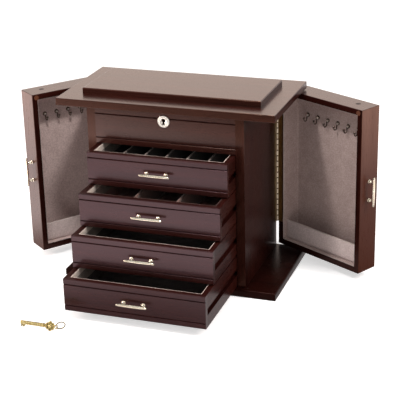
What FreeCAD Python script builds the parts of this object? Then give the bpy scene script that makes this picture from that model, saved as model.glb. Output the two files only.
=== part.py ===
import FreeCAD, Part
import os
import re

import Sketcher

# A wooden jewelry box with four drawers, two swing-out necklace doors and a lid over a top well.
# Millimetres, +Z up, +X to the box's right seen from the front, the front facing -Y.
# The origin is the centre of the base plate's underside, on the surface that the box stands on.
# The rest pose is the displayed one: lid shut, both doors swung open, the drawers drawn out in
# steps, and the key lying in front of the left door.

SIZES = {
    # base plate
    "base_width": 363.0,
    "base_depth": 195.0,
    "base_height": 13.0,
    "base_round": 4.0,
    "base_ease": 1.0,
    # carcass, standing a little behind the middle of the base plate
    "body_width": 260.0,
    "body_depth": 181.0,
    "body_height": 282.3,
    "body_shift": 2.0,
    "side_thickness": 14.0,
    "back_thickness": 8.0,
    "back_rabbet": 5.0,
    "floor_thickness": 5.0,
    "floor_dado": 4.0,
    "fascia_thickness": 8.0,
    # bead grooves across the fascia and the drawer fronts
    "groove_width": 2.4,
    "groove_depth": 1.4,
    "groove_drop": 9.6,
    "groove_rise": 8.8,
    # drawers, and how far each stands open at rest
    "drawer_width": 231.0,
    "drawer_height": 53.9,
    "drawer_length": 168.0,
    "drawer_pitch": 55.87,
    "drawer_gap": 0.7,
    "drawer_wall": 8.5,
    "drawer_bottom": 4.0,
    "front_thickness": 8.5,
    "front_ease": 1.0,
    "open_1": 41.0,
    "open_2": 80.0,
    "open_3": 116.0,
    "open_4": 154.7,
    # side slots of the drawers and the runner strips that carry them
    "slot_rise": 19.5,
    "slot_height": 11.0,
    "slot_depth": 5.2,
    "runner_height": 10.0,
    "runner_reach": 4.7,
    "runner_dado": 3.0,
    "runner_start": 9.5,
    "slide_gap": 0.1,
    # fabric linings and dividers
    "lining_wall": 1.4,
    "lining_floor": 1.5,
    "lining_drop": 0.9,
    "divider_drop": 10.0,
    "divider_thickness": 3.0,
    "divider_round": 1.2,
    "wide_divider_thickness": 4.4,
    "wide_divider_drop": 7.0,
    # bar pulls
    "pull_length": 50.0,
    "pull_radius": 2.25,
    "pull_reach": 12.0,
    "post_radius": 2.0,
    "post_spacing": 32.0,
    # lid slab with its raised panel
    "lid_width": 361.0,
    "lid_depth": 189.5,
    "lid_shift": 0.25,
    "lid_gap": 0.1,
    "lid_thickness": 12.0,
    "lid_ease": 1.0,
    "panel_width": 297.0,
    "panel_depth": 121.0,
    "panel_shift": 1.0,
    "panel_height": 9.3,
    "panel_round": 1.8,
    # framed mirror under the lid
    "mirror_width": 210.0,
    "mirror_depth": 128.0,
    "mirror_shift": 5.0,
    "mirror_bar": 11.0,
    "mirror_drop": 3.6,
    "glass_thickness": 2.0,
    # lid hinges
    "lid_axis_back": 1.4,
    "lid_axis_rise": 0.2,
    "lid_hinge_place": 75.0,
    "lid_hinge_length": 30.0,
    "lid_leaf_width": 17.0,
    "lid_leaf_thickness": 0.8,
    "lid_knuckle_radius": 2.0,
    "lid_pin_radius": 0.9,
    "lid_pin_gap": 0.06,
    "knuckle_space": 0.2,
    # doors, measured from the hinge axis; closed they lie along the body's sides
    "door_axis_out": 1.2,
    "door_axis_back": 1.9,
    "door_rim": 1.2,
    "door_depth": 40.8,
    "door_length": 181.0,
    "door_rise": 2.6,
    "door_height": 277.6,
    "door_wall": 9.3,
    "door_ease": 0.6,
    "door_panel_thickness": 3.2,
    "door_panel_recess": 1.0,
    "door_panel_tongue": 4.0,
    "door_lining": 1.0,
    "door_lining_drop": 0.8,
    "right_door_angle": 61.0,
    "left_door_angle": -38.1,
    # necklace pocket and hooks inside a door
    "pocket_depth": 10.0,
    "pocket_thickness": 3.0,
    "pocket_height": 32.7,
    "pocket_round": 1.2,
    "hook_first": 36.0,
    "hook_spacing": 22.0,
    "hook_height": 246.0,
    "hook_plate_radius": 3.2,
    "hook_plate_thickness": 1.0,
    "hook_stem": 2.8,
    "hook_bend": 3.4,
    "hook_wire": 0.85,
    "hook_tip": 0.6,
    "hook_knob": 1.3,
    # door pull, closing magnet and bumper
    "door_pull_depth": 20.4,
    "door_pull_height": 155.0,
    "magnet_radius": 4.5,
    "magnet_thickness": 2.0,
    "magnet_place": 154.5,
    "magnet_depth": 24.0,
    "bumper_radius": 4.0,
    "bumper_thickness": 1.0,
    "bumper_place": 175.4,
    "bumper_drop": 5.7,
    # continuous door hinges
    "hinge_low": 57.0,
    "knuckle_pitch": 9.8,
    "knuckle_pairs": 10.0,
    "knuckle_radius": 1.65,
    "knuckle_gap": 0.1,
    "leaf_thickness": 0.9,
    "leaf_width": 10.5,
    "leaf_curl": 1.0,
    "leaf_clear": 1.9,
    "pin_radius": 0.8,
    "pin_gap": 0.03,
    "pin_head": 0.7,
    # top well lining with its dividers and ring rolls
    "well_wall": 2.0,
    "well_pad": 3.0,
    "well_drop": 6.0,
    "well_divider_place": 40.0,
    "well_divider_thickness": 4.0,
    "well_divider_height": 27.0,
    "roll_radius": 9.4,
    "roll_gap": 0.5,
    # lock: case, turning cam with a crank pin, and the bolt that the pin lifts
    "lock_width": 32.0,
    "lock_height": 33.0,
    "lock_depth": 14.0,
    "lock_axis_drop": 12.2,
    "hub_radius": 4.2,
    "hub_bore": 2.6,
    "hub_length": 7.5,
    "crank_radius": 6.5,
    "crank_thickness": 2.0,
    "crank_pin": 1.2,
    "crank_throw": 3.0,
    "crank_pin_length": 2.2,
    "turn_gap": 0.05,
    "bolt_width": 15.0,
    "bolt_thickness": 2.6,
    "bolt_length": 27.0,
    "bolt_drop": 0.6,
    "bolt_gap": 0.1,
    "bolt_slot_gap": 0.25,
    "strike_width": 34.0,
    "strike_depth": 9.0,
    "strike_thickness": 1.0,
    "strike_slot_gap": 1.0,
    "strike_pocket": 8.0,
    # escutcheon and keyhole
    "escutcheon_radius": 10.0,
    "escutcheon_thickness": 2.0,
    "keyhole_radius": 2.9,
    "keyhole_lift": 1.6,
    "keyhole_slot": 2.6,
    "keyhole_length": 8.1,
    # key and its split ring, standing on the bow's edge
    "key_x": -120.4,
    "key_y": -287.6,
    "key_z": 7.5,
    "key_lean": 68.0,
    "barrel_length": 50.0,
    "barrel_radius": 2.2,
    "barrel_bore": 1.2,
    "barrel_bore_depth": 12.0,
    "collar_radius": 3.2,
    "collar_length": 2.0,
    "collar_place": 11.9,
    "bit_width": 7.0,
    "bit_reach": 6.0,
    "bit_thickness": 1.8,
    "bit_notch": 1.6,
    "bow_radius": 7.6,
    "bow_thickness": 2.6,
    "bow_hole": 1.7,
    "bow_hole_place": 4.6,
    "bow_centre_hole": 1.4,
    "eye_place": 10.2,
    "eye_radius": 3.6,
    "eye_hole": 2.5,
    "eye_thickness": 1.0,
    "ring_radius": 7.0,
    "ring_wire": 0.5,
    "ring_lean": 18.0,
    "ring_right": 5.5,
}

# Heights and faces that many pieces share, as formulas of the sizes.
FRONT = "(body_shift - body_depth / 2)"
BACK = "(body_shift + body_depth / 2)"
TOP = "(base_height + body_height)"
INNER = "(body_width / 2 - side_thickness)"
WELL_LOW = "(base_height + drawer_gap + 4 * drawer_pitch)"
FLOOR_TOP = f"({WELL_LOW} + floor_thickness)"
LID_LOW = f"({TOP} + lid_gap)"
LID_TOP = f"({LID_LOW} + lid_thickness)"
LID_AXIS_Y = f"({BACK} + lid_axis_back)"
LID_AXIS_Z = f"({TOP} + lid_axis_rise)"
LOCK_Z = f"({TOP} - lock_axis_drop)"
FASCIA_BACK = f"({FRONT} + fascia_thickness)"

DRAWERS = (1, 2, 3, 4)
SIDES = {"left": -1, "right": 1}

# Counts of what repeats, and of the flat sides of small round work.
ROLLS = 8
HOOKS = 6
PETALS = 6
KNUCKLE_SIDES = 10
HOOK_SIDES = 12
POST_SIDES = 10
PETAL_SIDES = 8
RING_SIDES = 24
DISC_SIDES = 16
ROLL_SIDES = 20

# Shares of a lid hinge's length: the knuckles on the body, the lid's knuckle, and its longer bore.
END_KNUCKLES = {"near": (0.0, 0.32), "far": (0.68, 1.0)}
LID_KNUCKLE = (0.34, 0.66)
LID_BORE = (0.30, 0.70)
LID_PIN = (0.0, 1.0)

AXES = {"x": FreeCAD.Vector(1, 0, 0), "y": FreeCAD.Vector(0, 1, 0), "z": FreeCAD.Vector(0, 0, 1)}

doc = FreeCAD.newDocument("jewelry_box")
sheet = doc.addObject("Spreadsheet::Sheet", "Sizes")
for row, (alias, size) in enumerate(SIZES.items(), start=1):
    sheet.set(f"A{row}", alias)
    sheet.set(f"B{row}", str(size))
    sheet.setAlias(f"B{row}", alias)
doc.recompute()


def formula(text):
    """Point every size name in a formula at its cell in the sheet."""
    return re.sub(r"[a-z]\w*", lambda word: f"Sizes.{word[0]}" if word[0] in SIZES else word[0], text)


def bind(thing, **formulas):
    for name, text in formulas.items():
        thing.setExpression(name.replace("__", "."), formula(text))


def place(thing, x="0", y="0", z="0", angle=None):
    """Put a piece at a point, turned about the vertical when an angle is given."""
    bind(thing, Placement__Base__x=x, Placement__Base__y=y, Placement__Base__z=z)
    if angle:
        bind(thing, Placement__Rotation__Angle=angle)


def node(thing, label):
    thing.Label = label
    return thing


def mirrored(side, low, high):
    """The same span on the box's other side when the side is -1."""
    return (low, high) if side > 0 else (f"-({high})", f"-({low})")


# Whole primitives and the cuts and joins between them.


def block(name, low, high):
    """A box between two corners, each given as three formulas."""
    box = doc.addObject("Part::Box", name)
    for edge, axis, start, end in zip(("Length", "Width", "Height"), "xyz", low, high):
        box.setExpression(edge, formula(f"({end}) - ({start})"))
        box.setExpression(f"Placement.Base.{axis}", formula(start))
    return box


def rod(name, axis, start, length, radius, sides=None):
    """A cylinder from a starting point along one axis, or a prism when a count of sides is given."""
    bar = doc.addObject("Part::Prism" if sides else "Part::Cylinder", name)
    bar.Placement.Rotation = FreeCAD.Rotation(AXES["z"], AXES[axis])
    if sides:
        bar.Polygon = sides
        bind(bar, Circumradius=radius, Height=length)
    else:
        bind(bar, Radius=radius, Height=length)
    for letter, text in zip("xyz", start):
        bar.setExpression(f"Placement.Base.{letter}", formula(text))
    return bar


def fuse(name, pieces):
    joined = doc.addObject("Part::MultiFuse", name)
    joined.Shapes = pieces
    return joined


def cut(name, base, tools):
    remains = doc.addObject("Part::Cut", name)
    remains.Base = base
    remains.Tool = tools[0] if len(tools) == 1 else fuse(f"{name}_tools", tools)
    return remains


def group(name, pieces):
    """Separate solids kept together as one named piece."""
    together = doc.addObject("Part::Compound", name)
    together.Links = pieces
    return node(together, name)


# Bodies made of sketches and features.


def new_body(name):
    return node(doc.addObject("PartDesign::Body", name), name)


def datum(body, role):
    return next(item for item in body.Origin.OriginFeatures if item.Role == role)


def new_sketch(body, name, role, offset=None):
    sketch = body.newObject("Sketcher::SketchObject", name)
    sketch.AttachmentSupport = [(datum(body, role), "")]
    sketch.MapMode = "FlatFace"
    if offset:
        sketch.setExpression("AttachmentOffset.Base.z", formula(offset))
    return sketch


def pin_down(sketch, shape, point, place_x, place_y):
    """Tie one point of a sketch to its distances from the sketch's origin."""
    for kind, text in (("DistanceX", place_x), ("DistanceY", place_y)):
        index = sketch.addConstraint(Sketcher.Constraint(kind, -1, 1, shape, point, 1.0))
        sketch.setExpression(f"Constraints[{index}]", formula(text))


def polygon(sketch, points):
    """A closed outline through corners given as pairs of formulas."""
    count = len(points)
    turn = FreeCAD.Rotation(AXES["z"], 360 / count)
    corner = FreeCAD.Vector(10, 0, 0)
    first = sketch.GeometryCount
    for _ in points:
        following = turn.multVec(corner)
        sketch.addGeometry(Part.LineSegment(corner, following))
        corner = following
    for index in range(count):
        after = first + (index + 1) % count
        sketch.addConstraint(Sketcher.Constraint("Coincident", first + index, 2, after, 1))
    for index, (place_x, place_y) in enumerate(points):
        pin_down(sketch, first + index, 1, place_x, place_y)


def rectangle(sketch, low, high):
    polygon(sketch, [(low[0], low[1]), (high[0], low[1]), (high[0], high[1]), (low[0], high[1])])


def flat_sided(sketch, centre, radius, sides):
    """A regular outline for small round work that is repeated and needs few faces."""
    turns = [360 * index / sides for index in range(sides)]
    polygon(sketch, [
        (f"{centre[0]} + {radius} * cos({turn})", f"{centre[1]} + {radius} * sin({turn})")
        for turn in turns
    ])


def circle(sketch, centre, radius):
    shape = sketch.addGeometry(Part.Circle(FreeCAD.Vector(5, 5, 0), AXES["z"], 1.0))
    pin_down(sketch, shape, 3, *centre)
    index = sketch.addConstraint(Sketcher.Constraint("Radius", shape, 1.0))
    sketch.setExpression(f"Constraints[{index}]", formula(radius))


def pad(body, sketch, length, midplane=False, reverse=False):
    feature = body.newObject("PartDesign::Pad", f"{sketch.Name}_pad")
    feature.Profile = sketch
    feature.SideType = "Symmetric" if midplane else "One side"
    feature.Reversed = reverse
    feature.setExpression("Length", formula(length))
    return feature


def pocket(body, sketch, length, midplane=False, reverse=False):
    """Cut a sketch into the body, and stop if nothing was removed."""
    doc.recompute()
    before = body.Shape.Volume
    feature = body.newObject("PartDesign::Pocket", f"{sketch.Name}_pocket")
    feature.Profile = sketch
    feature.SideType = "Symmetric" if midplane else "One side"
    feature.Reversed = reverse
    feature.setExpression("Length", formula(length))
    doc.recompute()
    if body.Shape.Volume >= before:
        raise ValueError(f"{feature.Name} removes nothing")
    return feature


def repeat(body, feature, spacing, count):
    """Repeat a feature up the vertical, the given count of times in all."""
    pattern = body.newObject("PartDesign::LinearPattern", f"{feature.Name}_row")
    pattern.Originals = [feature]
    pattern.Direction = (datum(body, "Z_Axis"), [""])
    bind(pattern, Length=f"({spacing}) * (({count}) - 1)", Occurrences=count)
    body.Tip = pattern
    return pattern


def edges_at(shape, limits):
    """Names of the edges that lie wholly in all of the given limits of the shape's box."""
    names = []
    for index, edge in enumerate(shape.Edges, start=1):
        inside = edge.BoundBox
        if all(abs(getattr(inside, end) - getattr(shape.BoundBox, limit)) < 0.01
               for limit in limits
               for end in (f"{limit[0]}Min", f"{limit[0]}Max")):
            names.append(f"Edge{index}")
    return names


def ease(body, limit_sets, size, kind="Fillet"):
    """Round or bevel the edges found in each set of limits, such as the top and front faces."""
    doc.recompute()
    feature = body.Tip
    names = {name for limits in limit_sets for name in edges_at(feature.Shape, limits)}
    dressed = body.newObject(f"PartDesign::{kind}", f"{body.Name}_{kind}_{len(body.Group)}")
    dressed.Base = (feature, sorted(names))
    dressed.setExpression("Radius" if kind == "Fillet" else "Size", formula(size))
    return dressed


def board(name, low, high):
    """A plain rectangular board as a body, between two corners."""
    body = new_body(name)
    sketch = new_sketch(body, f"{name}_outline", "XY_Plane", low[2])
    rectangle(sketch, low[:2], high[:2])
    pad(body, sketch, f"({high[2]}) - ({low[2]})")
    return body


# Base and carcass.


def base_plate():
    body = board(
        "base_plate",
        ("-base_width / 2", "-base_depth / 2", "0"),
        ("base_width / 2", "base_depth / 2", "base_height"),
    )
    ease(body, [("ZMax",)], "base_round")
    ease(body, [("ZMin",)], "base_ease", "Chamfer")


def side_board(word, side):
    """A side board with the dados for the runners and the well floor, and the back's rabbet."""
    inner = INNER
    board_low, board_high = mirrored(side, inner, "body_width / 2")
    slab = block(f"{word}_side_slab", (board_low, FRONT, "base_height"), (board_high, BACK, TOP))
    grooves = []
    spans = {
        "floor": ("floor_dado", FASCIA_BACK, f"{BACK} - back_thickness", WELL_LOW, FLOOR_TOP),
        "back": ("back_rabbet", f"{BACK} - back_thickness", BACK, "base_height", TOP),
    }
    for number in DRAWERS:
        low, high = runner_heights(number)
        spans[f"runner_{number}"] = (
            "runner_dado", f"{FRONT} + runner_start", f"{BACK} - back_thickness", low, high,
        )
    for word_of, (depth, start, end, low, high) in spans.items():
        near, far = mirrored(side, inner, f"{inner} + {depth}")
        grooves.append(block(f"{word}_{word_of}_dado", (near, start, low), (far, end, high)))
    return node(cut(f"side_board_{word}", slab, grooves), f"side_board_{word}")


def drawer_base(number):
    """Height of a drawer's underside; drawer 1 is the top one."""
    return f"(base_height + drawer_gap + {4 - number} * drawer_pitch)"


def runner_heights(number):
    high = f"({drawer_base(number)} + slot_rise + slot_height - slide_gap)"
    return f"({high} - runner_height)", high


def drawer_runners():
    strips = []
    for number in DRAWERS:
        low, high = runner_heights(number)
        for word, side in SIDES.items():
            near, far = mirrored(side, f"{INNER} - runner_reach", f"{INNER} + runner_dado")
            strips.append(block(
                f"runner_{word}_{number}",
                (near, f"{FRONT} + runner_start", low),
                (far, f"{BACK} - back_thickness", high),
            ))
    group("drawer_runners", strips)


def lid_hinge_span(side, reach="0"):
    """The stretch of one lid hinge across the box, widened by a reach at both ends."""
    return mirrored(
        side,
        f"lid_hinge_place - lid_hinge_length / 2 - {reach}",
        f"lid_hinge_place + lid_hinge_length / 2 + {reach}",
    )


def back_board():
    panel = block(
        "back_slab",
        (f"-({INNER} + back_rabbet)", f"{BACK} - back_thickness", "base_height"),
        (f"{INNER} + back_rabbet", BACK, TOP),
    )
    notches = []
    for word, side in SIDES.items():
        near, far = lid_hinge_span(side, "knuckle_space")
        notches.append(block(
            f"back_notch_{word}",
            (near, f"{LID_AXIS_Y} - lid_knuckle_radius - knuckle_space",
             f"{LID_AXIS_Z} - lid_knuckle_radius - knuckle_space"),
            (far, BACK, TOP),
        ))
    node(cut("back_board", panel, notches), "back_board")


def well_floor():
    reach = f"({INNER} + floor_dado)"
    board(
        "well_floor",
        (f"-{reach}", FASCIA_BACK, WELL_LOW),
        (reach, f"{BACK} - back_thickness", FLOOR_TOP),
    )


def grooved_board(name, front, thickness, low, high, width):
    """A board across the box with two bead grooves along its front face."""
    lower = f"{low} + groove_rise"
    upper = f"{high} - groove_drop"
    body = new_body(name)
    sketch = new_sketch(body, f"{name}_profile", "YZ_Plane")
    polygon(sketch, [
        (front, low),
        (front, f"{lower} - groove_width / 2"),
        (f"{front} + groove_depth", lower),
        (front, f"{lower} + groove_width / 2"),
        (front, f"{upper} - groove_width / 2"),
        (f"{front} + groove_depth", upper),
        (front, f"{upper} + groove_width / 2"),
        (front, high),
        (f"{front} + {thickness}", high),
        (f"{front} + {thickness}", low),
    ])
    pad(body, sketch, width, midplane=True)
    return body


def keyhole(body, depth):
    """A round hole with a slot hanging from it, cut right through from front to back."""
    hole = new_sketch(body, f"{body.Name}_keyhole", "XZ_Plane", f"-({FRONT})")
    circle(hole, ("0", LOCK_Z), "keyhole_radius")
    pocket(body, hole, depth, midplane=True)
    slot = new_sketch(body, f"{body.Name}_keyslot", "XZ_Plane", f"-({FRONT})")
    rectangle(
        slot,
        ("-keyhole_slot / 2", f"{LOCK_Z} - keyhole_length"),
        ("keyhole_slot / 2", LOCK_Z),
    )
    pocket(body, slot, depth, midplane=True)


def fascia():
    body = grooved_board("fascia", FRONT, "fascia_thickness", WELL_LOW, TOP, f"2 * {INNER}")
    keyhole(body, "4 * fascia_thickness")


def escutcheon():
    body = new_body("escutcheon")
    disc = new_sketch(body, "escutcheon_disc", "XZ_Plane", f"-({FRONT})")
    circle(disc, ("0", f"{LOCK_Z} - keyhole_lift"), "escutcheon_radius")
    pad(body, disc, "escutcheon_thickness")
    keyhole(body, "4 * escutcheon_thickness")


# Top well: fabric lining with dividers, and ring rolls in its left bay.


def well_lining():
    well_back = f"({BACK} - back_thickness)"
    high = f"({TOP} - well_drop)"
    skin = block("well_skin", (f"-{INNER}", FASCIA_BACK, FLOOR_TOP), (INNER, well_back, high))
    bays = []
    edges = {
        "left": (f"-({INNER} - well_wall)", "-(well_divider_place + well_divider_thickness / 2)"),
        "middle": (
            "-(well_divider_place - well_divider_thickness / 2)",
            "well_divider_place - well_divider_thickness / 2",
        ),
        "right": ("well_divider_place + well_divider_thickness / 2", f"{INNER} - well_wall"),
    }
    for word, (low, high_x) in edges.items():
        bays.append(block(
            f"well_bay_{word}",
            (low, f"{FASCIA_BACK} + well_wall", f"{FLOOR_TOP} + well_pad"),
            (high_x, f"{well_back} - well_wall", high),
        ))
    bays.append(block(
        "well_over_dividers",
        (f"-({INNER} - well_wall)", f"{FASCIA_BACK} + well_wall",
         f"{FLOOR_TOP} + well_pad + well_divider_height"),
        (f"{INNER} - well_wall", f"{well_back} - well_wall", high),
    ))
    bays.append(block(
        "well_lock_notch",
        ("-lock_width / 2", FASCIA_BACK, f"{TOP} - lock_height"),
        ("lock_width / 2", f"{FASCIA_BACK} + lock_depth", high),
    ))
    node(cut("well_lining", skin, bays), "well_lining")


def ring_rolls():
    """Padded rolls side by side, with a slit between neighbours for the rings."""
    first = f"({FASCIA_BACK} + well_wall + roll_gap + roll_radius)"
    rolls = []
    for index in range(ROLLS):
        body = new_body(f"ring_roll_{index + 1}")
        centre_y = f"{first} + {index} * (2 * roll_radius + roll_gap)"
        sketch = new_sketch(body, f"roll_section_{index + 1}", "YZ_Plane", f"-({INNER} - well_wall)")
        centre = (centre_y, f"{FLOOR_TOP} + well_pad + roll_radius")
        flat_sided(sketch, centre, "roll_radius", ROLL_SIDES)
        pad(body, sketch, f"{INNER} - well_wall - well_divider_place - well_divider_thickness / 2")
        rolls.append(body)
    group("ring_rolls", rolls)


# Lock in the front of the top well.


def lock_case():
    """A block bored for the cam, with a guide for the bolt that is open at the top."""
    shell = block(
        "lock_block",
        ("-lock_width / 2", FASCIA_BACK, f"{TOP} - lock_height"),
        ("lock_width / 2", f"{FASCIA_BACK} + lock_depth", TOP),
    )
    hub = rod("lock_hub_bore", "y", ("0", FASCIA_BACK, LOCK_Z), "hub_length", "hub_radius + turn_gap")
    crank = rod(
        "lock_crank_bore",
        "y",
        ("0", f"{FASCIA_BACK} + hub_length - turn_gap", LOCK_Z),
        "crank_thickness + 3 * turn_gap",
        "crank_radius + turn_gap",
    )
    guide_start = f"({FASCIA_BACK} + hub_length + crank_thickness + turn_gap)"
    guide = block(
        "lock_bolt_guide",
        ("-(bolt_width / 2 + bolt_gap)", guide_start,
         f"{TOP} - bolt_drop - bolt_length - bolt_gap"),
        ("bolt_width / 2 + bolt_gap", f"{guide_start} + bolt_thickness + 2 * bolt_gap", TOP),
    )
    node(cut("lock_case", shell, [hub, crank, guide]), "lock_case")


def lock_cam():
    """The turning hub, with a crank arm and a pin behind it; the key enters its bore."""
    crank_start = f"({FASCIA_BACK} + hub_length)"
    hub = rod("cam_hub", "y", ("0", FASCIA_BACK, LOCK_Z), "hub_length", "hub_radius")
    arm = block(
        "cam_arm",
        ("0", crank_start, f"{LOCK_Z} - crank_throw - crank_pin"),
        ("crank_throw + crank_pin", f"{crank_start} + crank_thickness", LOCK_Z),
    )
    pin = rod(
        "cam_pin",
        "y",
        ("crank_throw", f"{crank_start} + crank_thickness / 2", f"{LOCK_Z} - crank_throw"),
        "crank_thickness / 2 + crank_pin_length",
        "crank_pin",
    )
    bore = rod("cam_bore", "y", ("0", FASCIA_BACK, LOCK_Z), "hub_length", "hub_bore")
    node(cut("lock_cam", fuse("cam_solid", [hub, arm, pin]), [bore]), "lock_cam")


def lock_bolt():
    """A flat bolt with a crosswise slot for the crank pin."""
    start = f"({FASCIA_BACK} + hub_length + crank_thickness + turn_gap + bolt_gap)"
    high = f"({TOP} - bolt_drop)"
    plate = block(
        "bolt_plate",
        ("-bolt_width / 2", start, f"{high} - bolt_length"),
        ("bolt_width / 2", f"{start} + bolt_thickness", high),
    )
    half = "(crank_pin + bolt_slot_gap)"
    slot = block(
        "bolt_slot",
        (f"crank_throw - {half}", start, f"{LOCK_Z} - crank_throw - {half}"),
        (f"sqrt(2) * crank_throw + {half}", f"{start} + bolt_thickness",
         f"{LOCK_Z} - crank_throw + {half}"),
    )
    node(cut("lock_bolt", plate, [slot]), "lock_bolt")


# Lid: slab, raised panel, mirror, strike plate and hinges.


def strike_middle():
    return (
        f"({FASCIA_BACK} + hub_length + crank_thickness + turn_gap + bolt_gap + bolt_thickness / 2)"
    )


def lid_slab():
    body = board(
        "lid_slab",
        ("-lid_width / 2", "lid_shift - lid_depth / 2", LID_LOW),
        ("lid_width / 2", "lid_shift + lid_depth / 2", LID_TOP),
    )
    ease(body, [("ZMax",), ("ZMin",)], "lid_ease")
    recesses = {
        "strike_seat": ("strike_width / 2", "strike_depth / 2", "strike_thickness"),
        "bolt_pocket": (
            "bolt_width / 2 + strike_slot_gap", "bolt_thickness / 2 + strike_slot_gap", "strike_pocket",
        ),
    }
    for word, (half_width, half_depth, depth) in recesses.items():
        sketch = new_sketch(body, word, "XY_Plane", LID_LOW)
        rectangle(
            sketch,
            (f"-({half_width})", f"{strike_middle()} - ({half_depth})"),
            (half_width, f"{strike_middle()} + ({half_depth})"),
        )
        pocket(body, sketch, depth, reverse=True)
    for word, side in SIDES.items():
        near, far = lid_hinge_span(side)
        leaf_seat = new_sketch(body, f"leaf_seat_{word}", "XY_Plane", LID_LOW)
        rectangle(leaf_seat, (near, f"{LID_AXIS_Y} - lid_leaf_width"), (far, LID_AXIS_Y))
        pocket(body, leaf_seat, "lid_leaf_thickness", reverse=True)
        near, far = lid_hinge_span(side, "knuckle_space")
        notch = new_sketch(body, f"knuckle_notch_{word}", "XY_Plane", LID_LOW)
        rectangle(
            notch,
            (near, f"{LID_AXIS_Y} - lid_knuckle_radius - knuckle_space"),
            (far, "lid_shift + lid_depth / 2 + 1"),
        )
        pocket(
            body, notch, "lid_axis_rise - lid_gap + lid_knuckle_radius + knuckle_space", reverse=True,
        )


def lid_raised_panel():
    body = board(
        "lid_raised_panel",
        ("-panel_width / 2", "panel_shift - panel_depth / 2", LID_TOP),
        ("panel_width / 2", "panel_shift + panel_depth / 2", f"{LID_TOP} + panel_height"),
    )
    ease(body, [("ZMax",)], "panel_round")


def mirror_frame():
    """A moulding round the mirror, grooved behind to hold the glass against the lid."""
    frame = block(
        "mirror_moulding",
        ("-mirror_width / 2", "mirror_shift - mirror_depth / 2", f"{LID_LOW} - mirror_drop"),
        ("mirror_width / 2", "mirror_shift + mirror_depth / 2", LID_LOW),
    )
    sight = block(
        "mirror_sight",
        ("mirror_bar - mirror_width / 2", "mirror_shift - mirror_depth / 2 + mirror_bar",
         f"{LID_LOW} - mirror_drop"),
        ("mirror_width / 2 - mirror_bar", "mirror_shift + mirror_depth / 2 - mirror_bar", LID_LOW),
    )
    low, high = glass_corners()
    node(cut("mirror_frame", frame, [sight, block("mirror_rebate", low, high)]), "mirror_frame")


def glass_corners():
    """The glass reaches half a bar's width under the moulding all round."""
    edge = "mirror_bar / 2"
    return (
        (f"{edge} - mirror_width / 2", f"mirror_shift - mirror_depth / 2 + {edge}",
         f"{LID_LOW} - glass_thickness"),
        (f"mirror_width / 2 - {edge}", f"mirror_shift + mirror_depth / 2 - {edge}", LID_LOW),
    )


def mirror_glass():
    board("mirror_glass", *glass_corners())


def strike_plate():
    plate = block(
        "strike_blank",
        ("-strike_width / 2", f"{strike_middle()} - strike_depth / 2", LID_LOW),
        ("strike_width / 2", f"{strike_middle()} + strike_depth / 2", f"{LID_LOW} + strike_thickness"),
    )
    slot = block(
        "strike_slot",
        ("-(bolt_width / 2 + strike_slot_gap)",
         f"{strike_middle()} - bolt_thickness / 2 - strike_slot_gap", LID_LOW),
        ("bolt_width / 2 + strike_slot_gap",
         f"{strike_middle()} + bolt_thickness / 2 + strike_slot_gap", f"{LID_LOW} + strike_thickness"),
    )
    node(cut("strike_plate", plate, [slot]), "strike_plate")


def lid_hinge_share(side, shares):
    """The ends across the box of a stretch of one lid hinge, given as shares of its length."""
    start, end = shares
    return mirrored(
        side,
        f"lid_hinge_place - lid_hinge_length / 2 + {start} * lid_hinge_length",
        f"lid_hinge_place - lid_hinge_length / 2 + {end} * lid_hinge_length",
    )


def lid_knuckle(name, side, shares, radius, sides=None):
    low, high = lid_hinge_share(side, shares)
    return rod(name, "x", (low, LID_AXIS_Y, LID_AXIS_Z), f"({high}) - ({low})", radius, sides)


def lid_hinge_body_leaves():
    """Leaves on the back board, each with its two end knuckles and the pin that they hold."""
    hinges = []
    for word, side in SIDES.items():
        near, far = lid_hinge_span(side)
        leaf = block(
            f"body_leaf_{word}",
            (near, BACK, f"{LID_AXIS_Z} - lid_leaf_width"),
            (far, f"{BACK} + lid_leaf_thickness", f"{LID_AXIS_Z} - lid_knuckle_radius - knuckle_space"),
        )
        tabs = []
        for end, shares in END_KNUCKLES.items():
            low, high = lid_hinge_share(side, shares)
            name = f"body_knuckle_{word}_{end}"
            tabs.append(lid_knuckle(name, side, shares, "lid_knuckle_radius", KNUCKLE_SIDES))
            tabs.append(block(
                f"body_tab_{word}_{end}",
                (low, BACK, f"{LID_AXIS_Z} - lid_knuckle_radius - knuckle_space"),
                (high, f"{BACK} + lid_leaf_thickness", LID_AXIS_Z),
            ))
        pin = lid_knuckle(f"lid_pin_{word}", side, LID_PIN, "lid_pin_radius")
        hinges.append(fuse(f"lid_hinge_{word}_lower", [leaf, pin] + tabs))
    group("lid_hinge_body_leaves", hinges)


def lid_hinge_lid_leaves():
    """Leaves let into the lid's underside, each with the middle knuckle."""
    hinges = []
    for word, side in SIDES.items():
        near, far = lid_hinge_span(side)
        leaf = block(
            f"lid_leaf_{word}",
            (near, f"{LID_AXIS_Y} - lid_leaf_width", LID_LOW),
            (far, f"{LID_AXIS_Y} - lid_knuckle_radius - knuckle_space",
             f"{LID_LOW} + lid_leaf_thickness"),
        )
        low, high = lid_hinge_share(side, LID_KNUCKLE)
        tab = block(
            f"lid_tab_{word}",
            (low, f"{LID_AXIS_Y} - lid_knuckle_radius - knuckle_space", LID_LOW),
            (high, LID_AXIS_Y, f"{LID_LOW} + lid_leaf_thickness"),
        )
        name = f"lid_knuckle_{word}"
        knuckle = lid_knuckle(name, side, LID_KNUCKLE, "lid_knuckle_radius", KNUCKLE_SIDES)
        bore = lid_knuckle(f"lid_bore_{word}", side, LID_BORE, "lid_pin_radius + lid_pin_gap")
        hinges.append(cut(
            f"lid_hinge_{word}_upper", fuse(f"lid_hinge_{word}_blank", [leaf, tab, knuckle]), [bore],
        ))
    group("lid_hinge_lid_leaves", hinges)


# Continuous door hinges: interleaved knuckles, two leaves and a pin on each side.


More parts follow.
